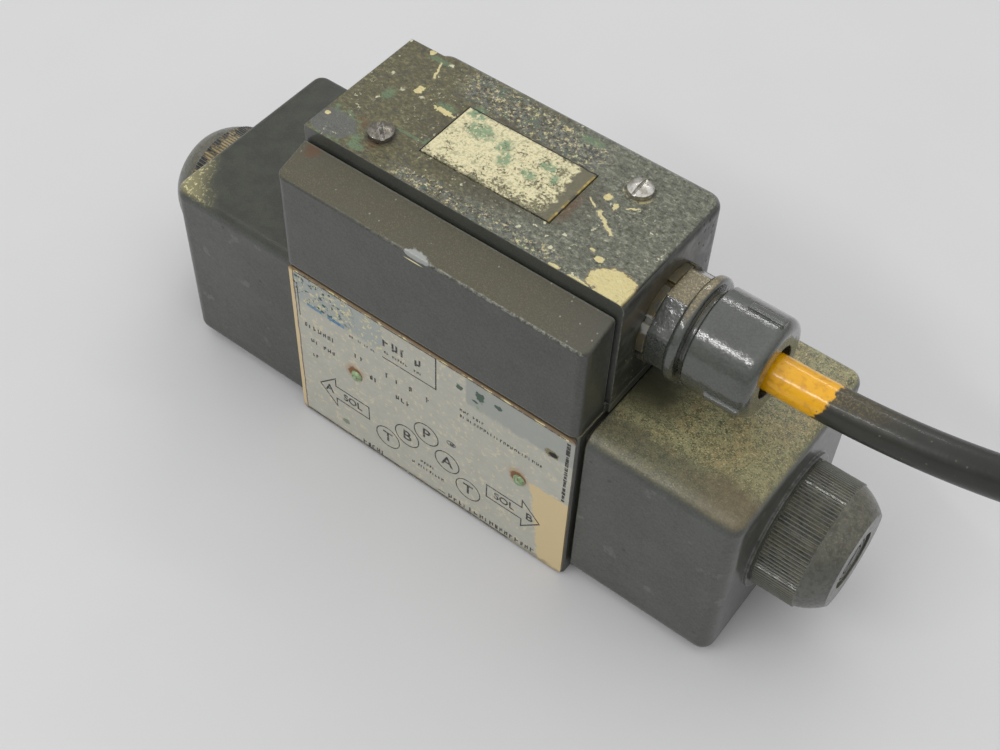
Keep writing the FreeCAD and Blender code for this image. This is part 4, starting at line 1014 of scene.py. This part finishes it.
def nameplate_print():
    mesh = bmesh.new()
    for letter, x, z in (
        ("T", -14.8, 13.1), ("B", -7.4, 20.0), ("P", -0.2, 27.0), ("A", 7.4, 20.0), ("T", 15.1, 12.9),
    ):
        ink_outline(mesh, ring_points(x, z, 4.35), 0.36)
        letters(mesh, letter, x, z, 4.3)
    solenoid_arrow(mesh, -21.8, -40.7, 19.0, "A")
    solenoid_arrow(mesh, 21.7, 40.3, 18.7, "B")
    ink_outline(
        mesh, [(8.8 + 1.5 * math.cos(turn / 3), 30.1 + 0.9 * math.sin(turn / 3)) for turn in range(19)],
        0.3)
    ink_bar(mesh, (8.4, 29.9), (9.8, 30.2), 0.9)
    for start, end, width in (
        ((3.4, 50.9), (3.4, 64.2), 0.42), ((3.6, 50.9), (-15.5, 50.6), 0.36), (
            (-15.4, 64.0), (3.6, 64.2), 0.34),
        ((-46.6, 64.2), (-16.5, 64.1), 0.3), ((4.5, 64.3), (45.8, 64.2), 0.3), (
            (-47.0, 1.7), (-8.0, 1.6), 0.55),
        ((-7.0, 1.6), (30.0, 1.6), 0.5), ((4.2, 3.2), (6.8, 3.2), 0.3),
        ((-46.2, 60.0), (-46.2, 46.0), 0.3),
    ):
        ink_bar(mesh, start, end, width)
    chance = random.Random(4)
    worn_rows(mesh, chance)
    z = 63.2
    while z > 37.0:
        depth = chance.uniform(0.5, 2.6)
        ink_bar(mesh, (46.9, z), (46.9, z - depth), chance.uniform(0.7, 1.3))
        z -= depth + chance.uniform(0.15, 0.6)
    dark = ink("printed_ink", srgb(44, 44, 44), srgb(150, 148, 138), 0.8, 0.57, 0.7)
    finish_piece("nameplate_print", mesh, dark)


def nameplate_blue_marks():
    """Two broken blue lines on the upper left panel."""
    mesh = bmesh.new()
    for start, end, width in (((-43.0, 53.0), (-37.6, 52.9), 1.1), ((-35.4, 52.8), (-29.2, 52.7), 1.2)):
        ink_bar(mesh, start, end, width)
    blue = ink("blue_ink", srgb(62, 118, 158), srgb(150, 160, 160), 0.9, 0.5, 0.6)
    finish_piece("nameplate_blue_marks", mesh, blue)


# ---- Stage -------------------------------------------------------------------------------

def bench_top():
    coat = Coat("bench_top")
    colour = coat.mix(coat.noise(60, 3), srgb(203, 203, 204), srgb(208, 208, 209))
    coat.start(colour, 0.6)
    material = coat.finish(coat.noise(1.5, 3), 0.02, edge=0)
    mesh = bmesh.new()
    bmesh.ops.create_grid(mesh, x_segments=1, y_segments=1, size=2.5)
    data = bpy.data.meshes.new("bench_top")
    mesh.to_mesh(data)
    mesh.free()
    data.materials.append(material)
    floor = bpy.data.objects.new("bench_top", data)
    bpy.context.scene.collection.objects.link(floor)


def area_light(name, place, aim, size, power):
    light = bpy.data.lights.new(name, "AREA")
    light.shape = "RECTANGLE"
    light.size, light.size_y = size
    light.energy = power
    holder = bpy.data.objects.new(name, light)
    holder.location = place
    holder.rotation_euler = (Vector(aim) - Vector(place)).to_track_quat("-Z", "Y").to_euler()
    bpy.context.scene.collection.objects.link(holder)


def studio():
    """Room light brighter overhead, two ceiling strips, and the camera high off solenoid B's corner."""
    scene = bpy.context.scene
    scene.world = bpy.data.worlds.new("studio")
    scene.world.use_nodes = True
    nodes = scene.world.node_tree.nodes
    links = scene.world.node_tree.links
    nodes["Background"].inputs["Color"].default_value = (1.0, 1.0, 1.0, 1.0)
    direction = nodes.new("ShaderNodeTexCoord")
    parts = nodes.new("ShaderNodeSeparateXYZ")
    brightness = nodes.new("ShaderNodeMapRange")
    brightness.inputs["To Min"].default_value = 0.3
    brightness.inputs["To Max"].default_value = 1.2
    links.new(direction.outputs["Generated"], parts.inputs[0])
    links.new(parts.outputs["Z"], brightness.inputs["Value"])
    # Seen directly, the room matches the floor, so the horizon doesn't show
    rays = nodes.new("ShaderNodeLightPath")
    strength = nodes.new("ShaderNodeMix")
    strength.inputs[3].default_value = 0.68
    links.new(rays.outputs["Is Camera Ray"], strength.inputs[0])
    links.new(brightness.outputs[0], strength.inputs[2])
    links.new(strength.outputs[0], nodes["Background"].inputs["Strength"])
    for name, toward, power in (
        ("front_strip", (-0.24, -0.65, 0.72), 4.2), ("rear_strip", (-0.25, 0.69, 0.68), 1.8),
    ):
        area_light(name, Vector(toward) * 1.5, (0, 0, 0.05), (0.8, 0.05), power)
    scene.view_settings.view_transform = "Standard"

    lens = bpy.data.cameras.new("camera")
    lens.lens = 53.34
    camera = bpy.data.objects.new("camera", lens)
    camera.location = (0.15739, -0.2264, 0.37031)
    camera.rotation_euler = [math.radians(turn) for turn in (38.149, -1.794, 37.083)]
    scene.collection.objects.link(camera)
    scene.camera = camera


dress_cad_nodes()
working_springs()
nameplate_print()
nameplate_blue_marks()
bench_top()
studio()
